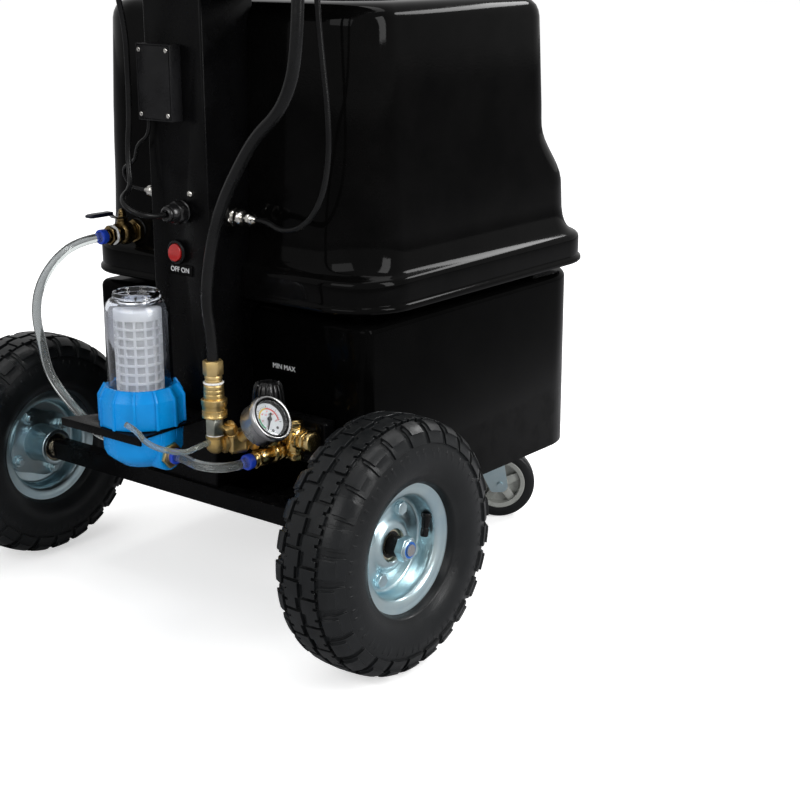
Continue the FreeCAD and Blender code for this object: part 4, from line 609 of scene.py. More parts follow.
def lathe(name, profile, steps=64, edge=0, segments=2, angle=32):
    """Extrude a point along a profile of (radius, height), spin it once around Z and soften it."""
    piece = add("plane", name, size=1)
    bpy.ops.object.mode_set(mode="EDIT")
    bpy.ops.mesh.select_mode(type="VERT")
    everything()
    bpy.ops.mesh.merge(type="CENTER")
    everything()
    shift(profile[0][0], 0, profile[0][1])
    for before, after in zip(profile, profile[1:]):
        extrude(after[0] - before[0], 0, after[1] - before[1])
    everything()
    bpy.ops.mesh.spin(steps=steps, angle=math.tau, center=(0, 0, 0), axis=(0, 0, 1))
    everything()
    bpy.ops.mesh.remove_doubles(threshold=CLOSE)
    bpy.ops.mesh.normals_make_consistent(inside=False)
    leave()
    return piece if edge is None else soften(piece, edge, segments, angle)


def moved(x=0, y=0, z=0, turn=0, axis="Z"):
    """A matrix that turns by degrees about an axis and then moves by millimetres."""
    return Matrix.Translation((x * MM, y * MM, z * MM)) @ Matrix.Rotation(math.radians(turn), 4, axis)


def pointing(along):
    """The turn that takes Z along a direction."""
    return Vector((0, 0, 1)).rotation_difference(Vector(along)).to_matrix().to_4x4()


def lay(piece, place=(0, 0, 0), along=(0, 0, 1), spin=0):
    """Spin a piece about its own axis, point that axis along a direction and put it in its place."""
    piece.matrix_world = Matrix.Translation(at(*place)) @ pointing(along) @ moved(turn=spin)
    only(piece)
    bake()
    return piece


def twin(piece, name):
    """A copy with a mesh of its own."""
    copy = piece.copy()
    copy.data = piece.data.copy()
    copy.name = name
    scene.collection.objects.link(copy)
    return copy


def repeat(piece, places):
    """The piece at the first of some matrices and copies of it at the others, numbered from 0."""
    name = piece.name
    pieces = [piece] + [twin(piece, "%s_%d" % (name, k)) for k in range(1, len(places))]
    piece.name = name + "_0"
    for copy, matrix in zip(pieces, places):
        copy.matrix_world = matrix
    return pieces


def both_sides(piece):
    """A right and a left copy of a piece, which is used up. Each comes with its side and its name."""
    sides = ((1, "right"), (-1, "left"))
    copies = [(side, name, twin(piece, name + "_" + piece.name)) for side, name in sides]
    bpy.data.objects.remove(piece)
    return copies


def join(pieces, name):
    """Several objects become one, its place taken into the mesh."""
    only(pieces[0])
    for piece in pieces:
        piece.select_set(True)
    bpy.ops.object.join()
    pieces[0].name = name
    bake()
    return pieces[0]


def dress(piece, look, slot, *nodes, body="chassis"):
    """Give a finished piece its look, the CAD nodes that it stands for and its CAD body. The slot is not
    used.
    """
    piece.data.materials.clear()
    piece.data.materials.append(look)
    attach(piece, body)
    if nodes:
        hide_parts(*nodes)
    return piece


# %% [markdown]
# ## Tyres
# The knobbly pneumatic tyre is moulded in one go: a carcass with lugs standing on it. The carcass
# is spun from its section with ten steps to every pitch of the tread. The lugs are then picked out
# of the tread's faces and extruded, which keeps them on the true curve, and the other half of the
# tread is staggered by half a pitch.

# %% Tyre
PITCHES = 26
STEPS = 10 * PITCHES
half_section = [(56, 21), (64.5, 22.5), (66.2, 27), (67.6, 31.5), (69, 33.4), (70.6, 33.9), (74, 36.6),
    (79, 39.2), (85, 40.7), (92, 41.2), (99, 40.4), (103, 39.4), (107.5, 38), (111, 36.6), (116.5, 33.6),
    (120.5, 29.5), (122.6, 25.2), (123.4, 22), (124.2, 18.5), (124.6, 15), (125.2, 5), (125.3, 1.4)]
section = [(r, -z) for r, z in half_section] + half_section[::-1] + [(56, -21)]
tyre = lathe("knobbly_tyre", section, STEPS, edge=None)


def tread_index(centre):
    """Where a face lies in its pitch, from 0 to 9; the far half is staggered."""
    return (step_of(centre, STEPS) + (5 if centre.z < 0 else 0)) % 10


def centre_block(c, n):
    k, z, r = tread_index(c), abs(c.z), radius_of(c)
    if r < 123 or z > 18.6 or k == 9:
        return False
    if z < 1.5 or (z < 5 and k in (5, 6, 7, 8)):
        return False
    return not (z > 15 and k in (2, 6))


def shoulder_block(c, n):
    k, z, r = tread_index(c), abs(c.z), radius_of(c)
    return 108 < r and z > 21.9 and k not in (3, 4) and not (k == 2 and r > 122.7)


def shoulder_top(c, n):
    k, z, r = tread_index(c), abs(c.z), radius_of(c)
    outward = Vector((c.x, c.y, 0)).normalized()
    return r > 117 and 21.9 < z and k not in (2, 3, 4, 5) and n.dot(outward) > 0.5


def sidewall_dash(c, n):
    k, r = tread_index(c), radius_of(c)
    return 99.2 < r < 103 and k in (0, 6) and abs(c.z) > 38


edit(tyre)
print("centre blocks:", raise_faces(tyre, centre_block, 4.3), "faces")
print("shoulder blocks:", raise_faces(tyre, shoulder_block, 2.4), "faces")
print("shoulder tops:", raise_faces(tyre, shoulder_top, 2.2), "faces")
print("sidewall dashes:", raise_faces(tyre, sidewall_dash, 0.5), "faces")
leave()
soften(tyre, 0.55, 1)
print("tyre has", len(tyre.data.polygons), "faces")
WHEEL, AXLE_HEIGHT = 268, 130
for side, name, copy in both_sides(tyre):
    lay(copy, (side * WHEEL, 0, AXLE_HEIGHT), (side, 0, 0), 0 if side > 0 else 7)
    dress(copy, tyre_rubber, "tyre_rubber", name + "_tyre", body=name + "_wheel")

# %% [markdown]
# ## Rims
# The rim is pressed from zinc-plated sheet: a rolled flange on each side, a well between them and
# a bolted centre plate with a dome that holds the bearing. The whole section is one closed profile,
# spun around the axle. Distances along the axle count outwards from the wheel's middle.

# %% Pressed rim
lip = [(51, 13.5), (51.6, 18.4), (53.2, 21.4), (56, 23), (60, 23.7), (62.8, 24.2), (64.4, 24.9), (65.5, 25),
    (66.1, 24.3), (65.9, 23.3)]
outside = [(16.6, 5.2), (16.6, 8.4), (17.4, 9.2), (20.5, 9.3), (23.6, 8.2), (26.2, 5.6), (28.6, 3.2),
    (31.5, 2.5), (44.6, 2.5), (45.5, 1.8), (45.6, -0.6), (47.2, -0.8), (49, 0.2), (50.2, 2.6),
    (50.6, 6)] + lip
inside = [(r, -z) for r, z in reversed(lip)] + [(50.6, -6.5), (49.4, -4.2), (47, -3.2), (16.6, -3.2)]
tyre_side = [(64, 23.3), (56.4, 22), (54.2, 20.4), (53.2, 18.2), (53, 14), (53, -14), (53.2, -18.2),
    (54.2, -20.4), (56.4, -22), (64, -23.3)]
rim = lathe("pressed_rim", outside + tyre_side + inside + [outside[0]], 96)

# %% [markdown]
# On the inner side a tube with a lobed foot is bolted to the web and holds the second bearing. The
# foot starts as a disc whose rim is drawn in between the bolts.

# %% Hub tube and foot
hub = lathe("hub_tube", [(16.4, -38), (20.2, -38), (21, -37.2), (21, -9.5), (22.4, -7.6), (22.4, -3.4),
    (16.4, -3.4), (16.4, -38)], 64, edge=0.4)
foot = add("cylinder", "hub_foot", vertices=96, radius=45, depth=2.6, location=(0, 0, -4.6 * MM),
    end_fill_type="NGON")
BOLT_TURN = 65
edit(foot)
body = bmesh.from_edit_mesh(foot.data)
for vert in body.verts:
    turned = math.atan2(vert.co.y, vert.co.x) - math.radians(BOLT_TURN)
    waist = 0.5 - 0.5 * math.cos(4 * turned)
    draw = 1 - 0.17 * waist
    vert.co.x *= draw
    vert.co.y *= draw
bmesh.update_edit_mesh(foot.data)
leave()
soften(foot, 0.5)
hub = join([hub, foot], "hub_tube")

# %% [markdown]
# ## Bolts and bearings
# A bolt head is a six-sided cylinder. Its top face is inset and lowered a little, as forged heads
# are, and a washer lies under it. The head is copied to the four places, and a nut stands on the
# inner side of each. The bearing shows a race, a shield and an inner race.


# %% Bolt head
def hex_piece(name, across, height, washer=0, chamfer=0.8, dish=0.4):
    """A hexagonal head standing on z = 0, across its flats, with its corners cut back at the top."""
    corner = across / math.sqrt(3)
    piece = add("cylinder", name, vertices=6, radius=corner, depth=height, location=(0, 0, height / 2 * MM),
        end_fill_type="NGON")
    bake()
    edit(piece)
    pick(piece, lambda c, n: n.z > 0.9)
    inset(chamfer)
    body = bmesh.from_edit_mesh(piece.data)
    for vert in body.verts:
        if vert.co.z > (height - 0.01) * MM and radius_of(vert.co) > (corner - 0.2) * MM:
            vert.co.z -= chamfer * 0.55 * MM
    bmesh.update_edit_mesh(piece.data)
    pick(piece, lambda c, n: n.z > 0.9 and radius_of(c) < 1)
    inset(across * 0.14)
    shift(0, 0, -dish)
    leave()
    soften(piece, 0.25)
    if washer:
        ring = lathe(name + "_washer", [(0.1, -1.4), (washer, -1.4), (washer, 0.2), (0.1, 0.2)], 40, 0.2, 1)
        piece = join([piece, ring], name)
    return piece


BOLT_CIRCLE = 37
head = hex_piece("bolt_head", 13, 4.6, washer=7.2)
nut = hex_piece("bolt_nut", 13, 5)
shank = lathe("bolt_end", [(0, 0), (3.9, 0), (3.9, 8.2), (3.2, 9), (0, 9)], 24, edge=None)
angles = [math.radians(BOLT_TURN + 90 * k) for k in range(4)]
spots = [(BOLT_CIRCLE * math.cos(angle), BOLT_CIRCLE * math.sin(angle)) for angle in angles]
outer = [moved(x, y, 3.9, turn=math.degrees(0.3 * k)) for k, (x, y) in enumerate(spots)]
inner = [moved(x, y, -5.9, turn=180, axis="X") for x, y in spots]
bolts = join(repeat(head, outer) + repeat(nut, inner) + repeat(shank, inner), "bolt_set")

# %% Bearings and their seals
bearing = lathe("bearing", [(8.05, -9.8), (15.95, -9.8), (15.95, -0.3), (15.5, 0), (13.6, 0), (13.4, -0.5),
    (13, -0.9), (10.9, -0.9), (10.6, -0.3), (10.4, 0.1), (8.4, 0.1), (8.05, -0.2), (8.05, -9.8)])
bearings = join(repeat(bearing, [moved(z=5.2), moved(z=-36.4, turn=180, axis="X")]), "bearing_pair")
seal = lathe("bearing_seal", [(10.5, 4.2), (13.5, 4.2), (13.5, 4.9), (10.5, 4.9), (10.5, 4.2)], 64, 0.1, 1)
seals = join(repeat(seal, [moved(), moved(z=-40.3)]), "bearing_seals")

# %% [markdown]
# A rubber snap-in valve leans out of the well of the rim. It is a short tapered stalk with a cap.
# The finished wheel pieces are then copied to both ends of the axle.

# %% Tyre valve
stalk = lathe("tyre_valve", [(0, -3), (5.6, -3), (5.9, 0.4), (4.6, 2.2), (4.1, 9.5), (3.6, 11.5),
    (3.6, 12.4), (4.1, 12.7), (4.1, 20), (3.4, 21), (0, 21)], 32, 0.3)
VALVE_BASE = Vector((-18, 47.1, 13)) * MM
VALVE_LEAN = Vector((0.98, -0.21, 0))
stalk.matrix_world = Matrix.Translation(VALVE_BASE) @ pointing(VALVE_LEAN)
only(stalk)
bake()

# %% Both wheels
for piece, look, slot, nodes in ((seals, hose_rubber, "black_plastic", []), (rim, zinc, "zinc", ["rim"]),
        (hub, zinc, "zinc", []), (bolts, zinc, "zinc", ["rim_bolts"]),
        (bearings, race_steel, "steel", ["bearings"]), (stalk, hose_rubber, "tyre_rubber", [])):
    for side, name, copy in both_sides(piece):
        lay(copy, (side * WHEEL, 0, AXLE_HEIGHT), (side, 0, 0))
        dress(copy, look, slot, *[name + "_" + node for node in nodes], body=name + "_wheel")

# %% [markdown]
# ## Axle ends
# A dark sleeve spaces the wheel from a locking nut. The nut is a hexagon with a round collar that
# holds a blue nylon ring, and the threaded end of the axle stands just inside it.

# %% Locking nuts
nylon = finish("nylon_blue", ((0.01, 0.1, 0.42), (0.015, 0.14, 0.5)), (0.3, 0.4))
sleeve = lathe("axle_sleeve", [(8.1, 5.4), (9.6, 5.4), (10.4, 6.2), (10.4, 18.6), (9.6, 19.3), (8.1, 19.3),
    (8.1, 5.4)], 48)
nut = hex_piece("locking_nut", 22.6, 8.8, dish=0)
nut.matrix_world = moved(z=19.4)
collar = lathe("nut_collar", [(7.4, 24), (10.6, 24), (10.6, 28.4), (9.9, 29.7), (9.1, 30.2), (8.5, 30),
    (8.2, 29.2), (7.4, 29), (7.4, 24)], 48)
nut = join([nut, collar], "locking_nut")
ring = lathe("nylon_ring", [(6.2, 27), (8.4, 27), (8.4, 29.3), (7.3, 29.6), (6.2, 29.2), (6.2, 27)], 48)
thread = lathe("axle_thread", [(0, 20), (6.7, 20), (6.7, 28), (6, 28.8), (0, 28.8)], 32)
for piece, look, slot, nodes in ((sleeve, plastic_black, "black_plastic", []),
        (nut, zinc, "zinc", ["axle_nuts"]), (ring, nylon, "blue_plastic", []),
        (thread, plastic_black, "steel", [])):
    for side, name, copy in both_sides(piece):
        lay(copy, (side * WHEEL, 0, AXLE_HEIGHT), (side, 0, 0))
        dress(copy, look, slot, *nodes)

# %% [markdown]
# ## Casters
# The caster wheel has a moulded core with five spokes on a thin web and a smooth rubber tread. The
# spoke is a block whose two ends are scaled differently, modelled once and turned around the hub.

# %% Caster wheels
CASTER_ANGLE = math.radians(38.8)
caster_axis = (-math.sin(CASTER_ANGLE), math.cos(CASTER_ANGLE), 0)
felloe = lathe("caster_felloe", [(26, -10.5), (30.5, -11.6), (31.6, -11), (31.6, 11), (30.5, 11.6),
    (26, 10.5), (25.5, 8), (25.5, -8), (26, -10.5)], 72)
nave = lathe("caster_nave", [(4.2, -12), (8.2, -12), (9.4, -11), (11.5, -7), (11.5, 7), (9.4, 11),
    (8.2, 12), (4.2, 12), (4.2, -12)], 48)
web = lathe("caster_web", [(9, -1.5), (26.5, -1.5), (26.5, 1.5), (9, 1.5), (9, -1.5)], 48, edge=None)
spoke = block("caster_spoke", (17, 6.5, 13), (18.4, 0, 0))
edit(spoke)
pick(spoke, lambda c, n: n.x < -0.9)
stretch(1, 1.7, 1.25)
pick(spoke, lambda c, n: n.x > 0.9)
stretch(1, 1.5, 0.9)
leave()
soften(spoke, 1, 3)
spokes = repeat(spoke, [moved(turn=72 * k + 20) for k in range(5)])
core = join([felloe, nave, web] + spokes, "caster_core")
rubber = lathe("caster_rubber", [(31.5, -11.4), (35, -12.1), (40.5, -11.8), (42.6, -10.4), (43.7, -7.8),
    (44, -4), (44, 4), (43.7, 7.8), (42.6, 10.4), (40.5, 11.8), (35, 12.1), (31.5, 11.4), (31.5, -11.4)],
    96)
TRAIL = (28 * math.cos(CASTER_ANGLE), 28 * math.sin(CASTER_ANGLE))
SWIVEL, CASTER_HEIGHT = (80, 408), 44
for piece, look, slot, node in ((core, caster_grey, "grey_plastic", "_caster_wheel"),
        (rubber, caster_rubber, "caster_rubber", "_caster_tread")):
    for side, name, copy in both_sides(piece):
        spot = (side * SWIVEL[0] + TRAIL[0], SWIVEL[1] + TRAIL[1], CASTER_HEIGHT)
        lay(copy, spot, caster_axis)
        dress(copy, look, slot, name + node, body=name + "_caster_roller")

# %% [markdown]
# ## Filter
# The filter stands upside down: head below the bracket, clear bowl above, and a blue clamping ring
# between them. The ring is a twelve-sided drum with a cone on top. Its upright edges are bevelled
# into narrow faces, and these are extruded as the grip ribs. The drum is then opened from above,
# widened for the flange of the bowl and bridged through to its underside.

# %% Clamping ring
FILTER = (0, -70, 0)
ring = add("cylinder", "filter_grip_ring", vertices=12, radius=43.6, depth=25.8,
    location=(0, 0, 238.1 * MM), end_fill_type="NGON", rotation=(0, 0, math.radians(8)))
bake()
edit(ring)
pick(ring, lambda c, n: n.z > 0.9)
extrude(0, 0, 11.6)
stretch(0.845, 0.845, 1)
bpy.ops.mesh.select_mode(type="EDGE")
body = bmesh.from_edit_mesh(ring.data)
for edge in body.edges:
    low, high = sorted(vert.co.z for vert in edge.verts)
    edge.select_set(high - low > 5 * MM)
bmesh.update_edit_mesh(ring.data)
bpy.ops.mesh.bevel(offset=1.6 * MM, segments=1, affect="EDGES")
bpy.ops.mesh.select_mode(type="FACE")
pick(ring, lambda c, n: abs(n.z) < 0.9)
body = bmesh.from_edit_mesh(ring.data)
for face in body.faces:
    if face.select and face.calc_area() > 150 * MM * MM:
        face.select_set(False)
bmesh.update_edit_mesh(ring.data)
swell(2.1)
pick(ring, lambda c, n: n.z < -0.9)
extrude(0, 0, -2.6)
pick(ring, lambda c, n: n.z > 0.9 and radius_of(c) < 4)
inset(2.4)
extrude(0, 0, -17.6)
extrude(0, 0, 0)
stretch(1.15, 1.15, 1)
pick(ring, lambda c, n: n.z < -0.9 and c.z < 223 and radius_of(c) < 4)
inset(3.6)
pick(ring, lambda c, n: abs(n.z) > 0.9 and radius_of(c) < 4)
bpy.ops.mesh.bridge_edge_loops()
face_outwards()
leave()
soften(ring, 0.4, 2, 25)
lay(ring, FILTER)
dress(ring, filter_blue, "bright_blue_plastic", "filter_ring", body="ring")

# %% [markdown]
# The head hangs below the bracket. Two port bosses leave its sides, twelve ribs stand around its
# top, and a neck carries the ring and the cartridge.

# %% Filter head
head = lathe("filter_blue_head", [(0, 178.2), (19, 178.2), (23.5, 179.4), (33, 186.5), (38.2, 191),
    (40.4, 196), (40.9, 203), (40.9, 218.8), (40.2, 219.4), (36.4, 219.6), (36.4, 236.6), (35.6, 237.4),
    (0, 237.4)], 72, edge=0.5)
boss = lathe("port_boss", [(0, 8), (16.6, 8), (16.4, 38), (15.6, 40), (14.2, 40.6), (9.2, 40.6), (9.2, 37),
    (0, 37)], 48, 0.4, angle=40)
bosses = repeat(boss, [moved(z=193) @ pointing((side, 0, 0)) @ moved(turn=22.5) for side in (1, -1)])
rib = block("head_rib", (3.2, 2.2, 20), (40.2, 0, 208))
edit(rib)
pick(rib, lambda c, n: n.z < -0.9)
stretch(0.5, 1, 1)
shift(-0.9, 0, 0)
leave()
soften(rib, 0.5)
ribs = repeat(rib, [moved(turn=30 * k + 15) for k in range(12)])
head = join([head] + bosses + ribs, "filter_blue_head")
lay(head, FILTER)
dress(head, filter_blue, "bright_blue_plastic", "filter_head")

# %% [markdown]
# The bowl is clear plastic with a real wall, because light bends at both of its faces. Its top has
# a raised rim around a sunk floor with eight ribs.

# %% Clear bowl
wall_outside = [(37.6, 238), (37.6, 243), (34, 243.4), (33.8, 250), (33.3, 336), (32.8, 342.5),
    (31.2, 347.4), (28.2, 350.6), (25.4, 352.2), (24.6, 353.2), (24.3, 357), (23.6, 358.8), (22.2, 359.6),
    (20.8, 358.9), (20, 356.6), (19.2, 352.2), (17.4, 350.4), (14, 349.4), (0, 349)]
wall_inside = [(0, 346.4), (14.6, 346.8), (18.6, 348.2), (21.4, 349.6), (25, 348.6), (28.4, 345.6),
    (29.6, 341), (30.7, 334), (31.2, 250), (31.2, 238), (37.6, 238)]
bowl = lathe("filter_clear_bowl", wall_outside + wall_inside, 96)
rib = soften(block("bowl_rib", (15, 2.2, 5), (10.5, 0, 351)), 0.5)
ribs = repeat(rib, [moved(turn=45 * k) for k in range(8)])
bowl = join([bowl] + ribs, "filter_clear_bowl")
lay(bowl, FILTER)
bowl_plastic = finish("bowl_plastic", ((0.9, 0.93, 1), (0.95, 0.97, 1)), (0.02, 0.06), grain=(300, 0.03),
    Transmission_Weight=1, IOR=1.46)
dress(bowl, bowl_plastic, "clear_plastic", "filter_bowl", body="bowl")

# %% [markdown]
# The cartridge is a white cage. Rows of windows are picked from a spun body, pushed in and given
# the colour of the filter cloth behind them.

# %% Cartridge
CAGE, FIRST_ROW, ROW, WINDOW = 24.4, 240.4, 9.4, 7
COLUMNS = 14
rows = []
for k in range(10):
    rows += [(CAGE, FIRST_ROW + ROW * k), (CAGE, FIRST_ROW + ROW * k + WINDOW)]
cage = lathe("filter_cage", [(0, 237.6), (CAGE, 237.6)] + rows + [(CAGE, 340.8), (CAGE - 0.8, 342.4),
    (CAGE - 4, 343.4), (0, 343.6)], 4 * COLUMNS, edge=None)
cage.data.materials.append(cage_white)
cage.data.materials.append(filter_cloth)
edit(cage)


def is_window(c, n):
    step = step_of(c, 4 * COLUMNS)
    row = (c.z - FIRST_ROW) / ROW
    return abs(n.z) < 0.2 and 0 < row < 9.8 and row % 1 < WINDOW / ROW and step % 4 != 3


pick(cage, is_window)
swell(-2.4)
body = bmesh.from_edit_mesh(cage.data)
for face in body.faces:
    if face.select:
        face.material_index = 1
bmesh.update_edit_mesh(cage.data)
leave()
soften(cage, 0.3, 1)
lay(cage, FILTER, spin=4)
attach(cage, "chassis")
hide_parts("filter_cartridge")
print("cage has", len(cage.data.polygons), "faces")

# %% [markdown]
# ## Push-in fittings
# Each clear tube goes into a brass fitting: a hexagon, a round neck and a blue collet that is
# pressed to let the tube go. One function builds the fittings for the four tube ends.


# %% Fittings
REAR = (0, -1, 0)


def push_fitting(name, across, hexagon, neck, reach):
    """A hexagon from 0, a neck above it and a blue collet with a pocket in which the tube ends."""
    nut = hex_piece(name + "_hexagon", across, hexagon, dish=0)
    throat = lathe(name + "_neck", [(0, hexagon - 1), (8.3, hexagon - 1), (8.3, hexagon + neck - 1),
        (7.6, hexagon + neck), (5.4, hexagon + neck), (5.4, hexagon), (0, hexagon)], 40)
    brass_part = join([nut, throat], name)
    low = hexagon + neck
    high = reach + 2.4
    collet = lathe(name + "_collet", [(0, low - 1), (6.6, low - 1), (6.6, low + 1), (8, low + 1.4),
        (8.2, high - 1.2), (7.6, high - 0.2), (5.7, high), (5.15, high - 0.6), (5.15, reach + 0.3),
        (0, reach + 0.3)], 40)
    return brass_part, collet


fitting_places = {
    "port_feed": ((39.4, -70, 193), (1, 0, 0), 23.5, 5, 0.4, 8.6),
    "port_supply": ((-39.4, -70, 193), (-1, 0, 0), 23.5, 5, 0.4, 8.6),
    "valve_end": ((-128, 11.4, 390), REAR, 19, 4, 4, 14.05),
    "pump_inlet": ((112, -17, 190), REAR, 17, 4.5, 4.5, 15),
}
for name, (place, along, across, hexagon, neck, reach) in fitting_places.items():
    fitting, collet = push_fitting(name + "_fitting", across, hexagon, neck, reach)
    metal = {"valve_end": bronze_and_shade, "pump_inlet": shiny_brass}.get(name, brass)
    for piece, look, slot in ((fitting, metal, "brass"), (collet, collet_blue, "blue_plastic")):
        lay(piece, place, along, 12)
        dress(piece, look, slot)
    if name == "port_feed":
        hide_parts("filter_fittings")
        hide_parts("tube_collets")

# %% [markdown]
# ## Ball valve
# The valve is screwed into the tank: a rubber seal, a hexagon, the round ball chamber and a second
# hexagon with a turn of white thread tape before the fitting. The stem comes out of a gland on top.

# %% Valve body
VALVE = (-128, 52, 390)
seal = lathe("valve_wall_seal", [(8.6, -0.5), (12.8, -0.5), (13.2, 0.4), (13.2, 1.8), (12.4, 2.6), (9, 2.9),
    (8.6, -0.5)], 48)
lay(seal, VALVE, REAR)
dress(seal, hose_rubber, "hose_rubber")
flange = hex_piece("valve_flange", 23, 6, dish=0)
flange.matrix_world = moved(z=3)
chamber = lathe("valve_chamber", [(8, 8.5), (9.6, 8.8), (10.2, 10.5), (9.4, 12.4), (11.4, 14.6),
    (12.6, 17.5), (12.9, 21), (12.6, 24.5), (11.6, 27), (9.8, 28.4), (9.8, 30), (8, 30.2), (8, 8.5)], 48)
end_hexagon = hex_piece("valve_end_hexagon", 20, 7, dish=0)
end_hexagon.matrix_world = moved(z=29.5)
throat = lathe("valve_throat", [(0, 30), (8.8, 30), (8.8, 40.8), (0, 40.8)], 40, edge=0.4)
valve = join([flange, chamber, end_hexagon, throat], "brass_valve")
lay(valve, VALVE, REAR)
gland = lathe("valve_gland", [(0, 8), (6.8, 8), (6.6, 13.2), (5.4, 13.6), (5.4, 14.4), (6.2, 14.8),
    (6.2, 16.8), (0, 16.8)], 32, edge=0.2)
lay(gland, (-128, 28.4, 390))
valve = join([valve, gland], "brass_valve")
dress(valve, bronze_and_shade, "brass", "valve_body")
tape = lathe("valve_thread_tape", [(8.6, 37), (10.6, 37.2), (11, 37.9), (10.5, 38.9), (8.8, 39.3),
    (8.6, 37)], 40)
lay(tape, VALVE, REAR)
dress(tape, white_plastic, "white_plastic")

# %% [markdown]
# The lever is a strip that is bent up away from the stem. Its end is dipped in dark blue vinyl. The
# strip starts as a short block, and its end face is extruded from bend to bend.

# %% Valve lever
lever = block("valve_lever_strip", (9.6, 12, 1.8), (0, 0, 0.9))
edit(lever)
pick(lever, lambda c, n: n.y < -0.9)
for forward, up, wide in ((-5.5, 0.2, 1), (-5.5, 5.2, 0.92), (-5, 0.9, 1), (-26, -0.2, 1)):
    extrude(0, forward, up)
    stretch(wide, 1, 1)
leave()
soften(lever, 0.5, 2, 25)
nut = hex_piece("lever_nut", 8.5, 4.2, dish=0)
nut.matrix_world = moved(z=1.8)
dome = lathe("lever_cap", [(0, 5.5), (3.7, 5.5), (3.7, 7.2), (2.9, 8.9), (1.3, 9.8), (0, 9.9)], 24)
cap_nut = join([nut, dome], "lever_cap_nut")
grip = block("lever_vinyl_grip", (10.6, 10, 4.2), (0, -21, 6.9))
edit(grip)
pick(grip, lambda c, n: n.y < -0.9)
for forward, up, wide, thick in ((-9, 0.2, 1.08, 1), (-9, 0, 0.98, 0.95), (-4.5, -0.1, 0.8, 0.75)):
    extrude(0, forward, up)
    stretch(wide, 1, thick)
leave()
soften(grip, 1.3, 4, 20)
LEVER = (-128, 28.4, 407.2)
for piece, look, slot in ((lever, steel, "steel"), (cap_nut, bronze_and_shade, "brass"),
        (grip, finish("lever_vinyl", ((0.004, 0.005, 0.014), (0.007, 0.008, 0.02)), (0.3, 0.42)),
        "black_plastic")):
    lay(piece, LEVER)
    dress(piece, look, slot, body="lever")
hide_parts("valve_lever")

# %% [markdown]
# ## Hose coupler
# The hose hangs on a stack of turned brass parts. A real nut is made from hexagonal bar, and the
# lathe takes its corners off at both ends. The tool here does the same: a boolean with a turned
# body leaves the curved edges of a real nut. White thread tape shows between the parts.


# %% Turned hexagon
def carve(piece, tool, kind="DIFFERENCE"):
    """Carve a piece with another one, which is used up."""
    only(piece)
    knife = piece.modifiers.new("carve", "BOOLEAN")
    knife.operation = kind
    knife.solver = "EXACT"
    knife.object = tool
    bpy.ops.object.modifier_apply(modifier=knife.name)
    bpy.data.objects.remove(tool)
    return piece


def turned_hexagon(name, across, low, high):
    """A hexagonal bar between two heights, its corners turned back at both ends."""
    corner = across / math.sqrt(3)
    flat = across / 2 - 0.1
    back = 0.62 * (corner - flat)
    bar = add("cylinder", name, vertices=6, radius=corner, depth=high - low,
        location=(0, 0, (low + high) / 2 * MM), end_fill_type="NGON")
    bake()
    turning = lathe(name + "_turning", [(0, low), (flat, low), (corner + 0.1, low + back),
        (corner + 0.1, high - back), (flat, high), (0, high)], 96, edge=None)
    return soften(carve(bar, turning, "INTERSECT"), 0.15, 1, 40)


def turned_part(name, profile, steps, *hexagons):
    """A turned part with hexagons on it, each given by its width across flats and two heights."""
    parts = [lathe(name, profile, steps)]
    parts += [turned_hexagon(name + "_hexagon", *sizes) for sizes in hexagons]
    return join(parts, name)


def tape_ring(name, radius, low, high):
    """A ragged turn of white thread tape."""
    middle = (low + high) / 2
    return lathe(name, [(radius - 1.4, low), (radius - 0.5, low + 0.1), (radius, middle - 0.3),
        (radius - 0.2, middle), (radius + 0.1, middle + 0.3), (radius - 0.6, high - 0.1),
        (radius - 1.4, high), (radius - 1.4, low)], 40)


# %% Coupler parts
STACK = (90, -54, 0)
hose_neck = lathe("hose_neck", [(0, 275.5), (8.5, 275.5), (8.8, 276), (8.8, 277.8), (8.2, 278.4),
    (8.2, 279.2), (8.8, 279.8), (8.8, 282.4), (8.2, 283.4), (0, 283.4)], 48)
hose_nut = join([turned_hexagon("hose_nut_brass", 18, 283, 298), hose_neck], "hose_nut_brass")
coupler = lathe("coupler_brass", [(0, 256), (10, 256), (10.2, 260), (10.2, 263.6), (9.9, 264),
    (10.2, 264.4), (10.2, 268), (9.9, 268.4), (10.2, 268.8), (10.2, 272.6), (9.4, 273.8), (0, 274.2)], 64,
    edge=0.15, segments=1)
adapter = turned_hexagon("hose_adapter", 16.6, 221, 238.6)
sleeve = lathe("sleeve_brass", [(9.9, 239.4), (12.2, 239.4), (12.8, 240), (12.8, 241.4), (12.3, 242),
    (12.3, 246.8), (12, 247.1), (12.3, 247.4), (12.3, 251.4), (12.7, 252), (13.1, 252.8), (13.1, 257.9),
    (12.4, 258.6), (9.9, 258.6), (9.9, 239.4)], 96, edge=None)
edit(sleeve)
grip_steps = raise_faces(sleeve, lambda c, n: radius_of(c) > 12.1 and 242 < c.z < 247
    and step_of(c, 96) % 2 == 0, 0.16)
leave()
soften(sleeve, 0)
tape_high = tape_ring("coupler_tape", 10.4, 274, 276.2)
tape_low = tape_ring("adapter_tape", 8.9, 218.8, 221.4)
for piece, look, slot, nodes in ((hose_nut, brass, "brass", ["hose_nut"]),
        (coupler, brass, "brass", ["coupler_body"]), (adapter, dark_zinc, "zinc", []),
        (sleeve, brass, "brass", ["coupler_sleeve"]), (tape_high, white_plastic, "white_plastic", []),
        (tape_low, white_plastic, "white_plastic", [])):
    lay(piece, STACK, spin=38 if piece == adapter else 8)
    dress(piece, look, slot, *nodes, body="sleeve" if piece == sleeve else "chassis")
print("sleeve grip on", grip_steps, "faces")

# %% [markdown]
# ## Outlet elbow
# The elbow below the coupler is a brass casting. A ball turns the line towards the pump, and a
# square block with broken edges carries the gauge and a slotted plug. The block is a cube whose
# faces are inset and pressed in a little, as castings have.

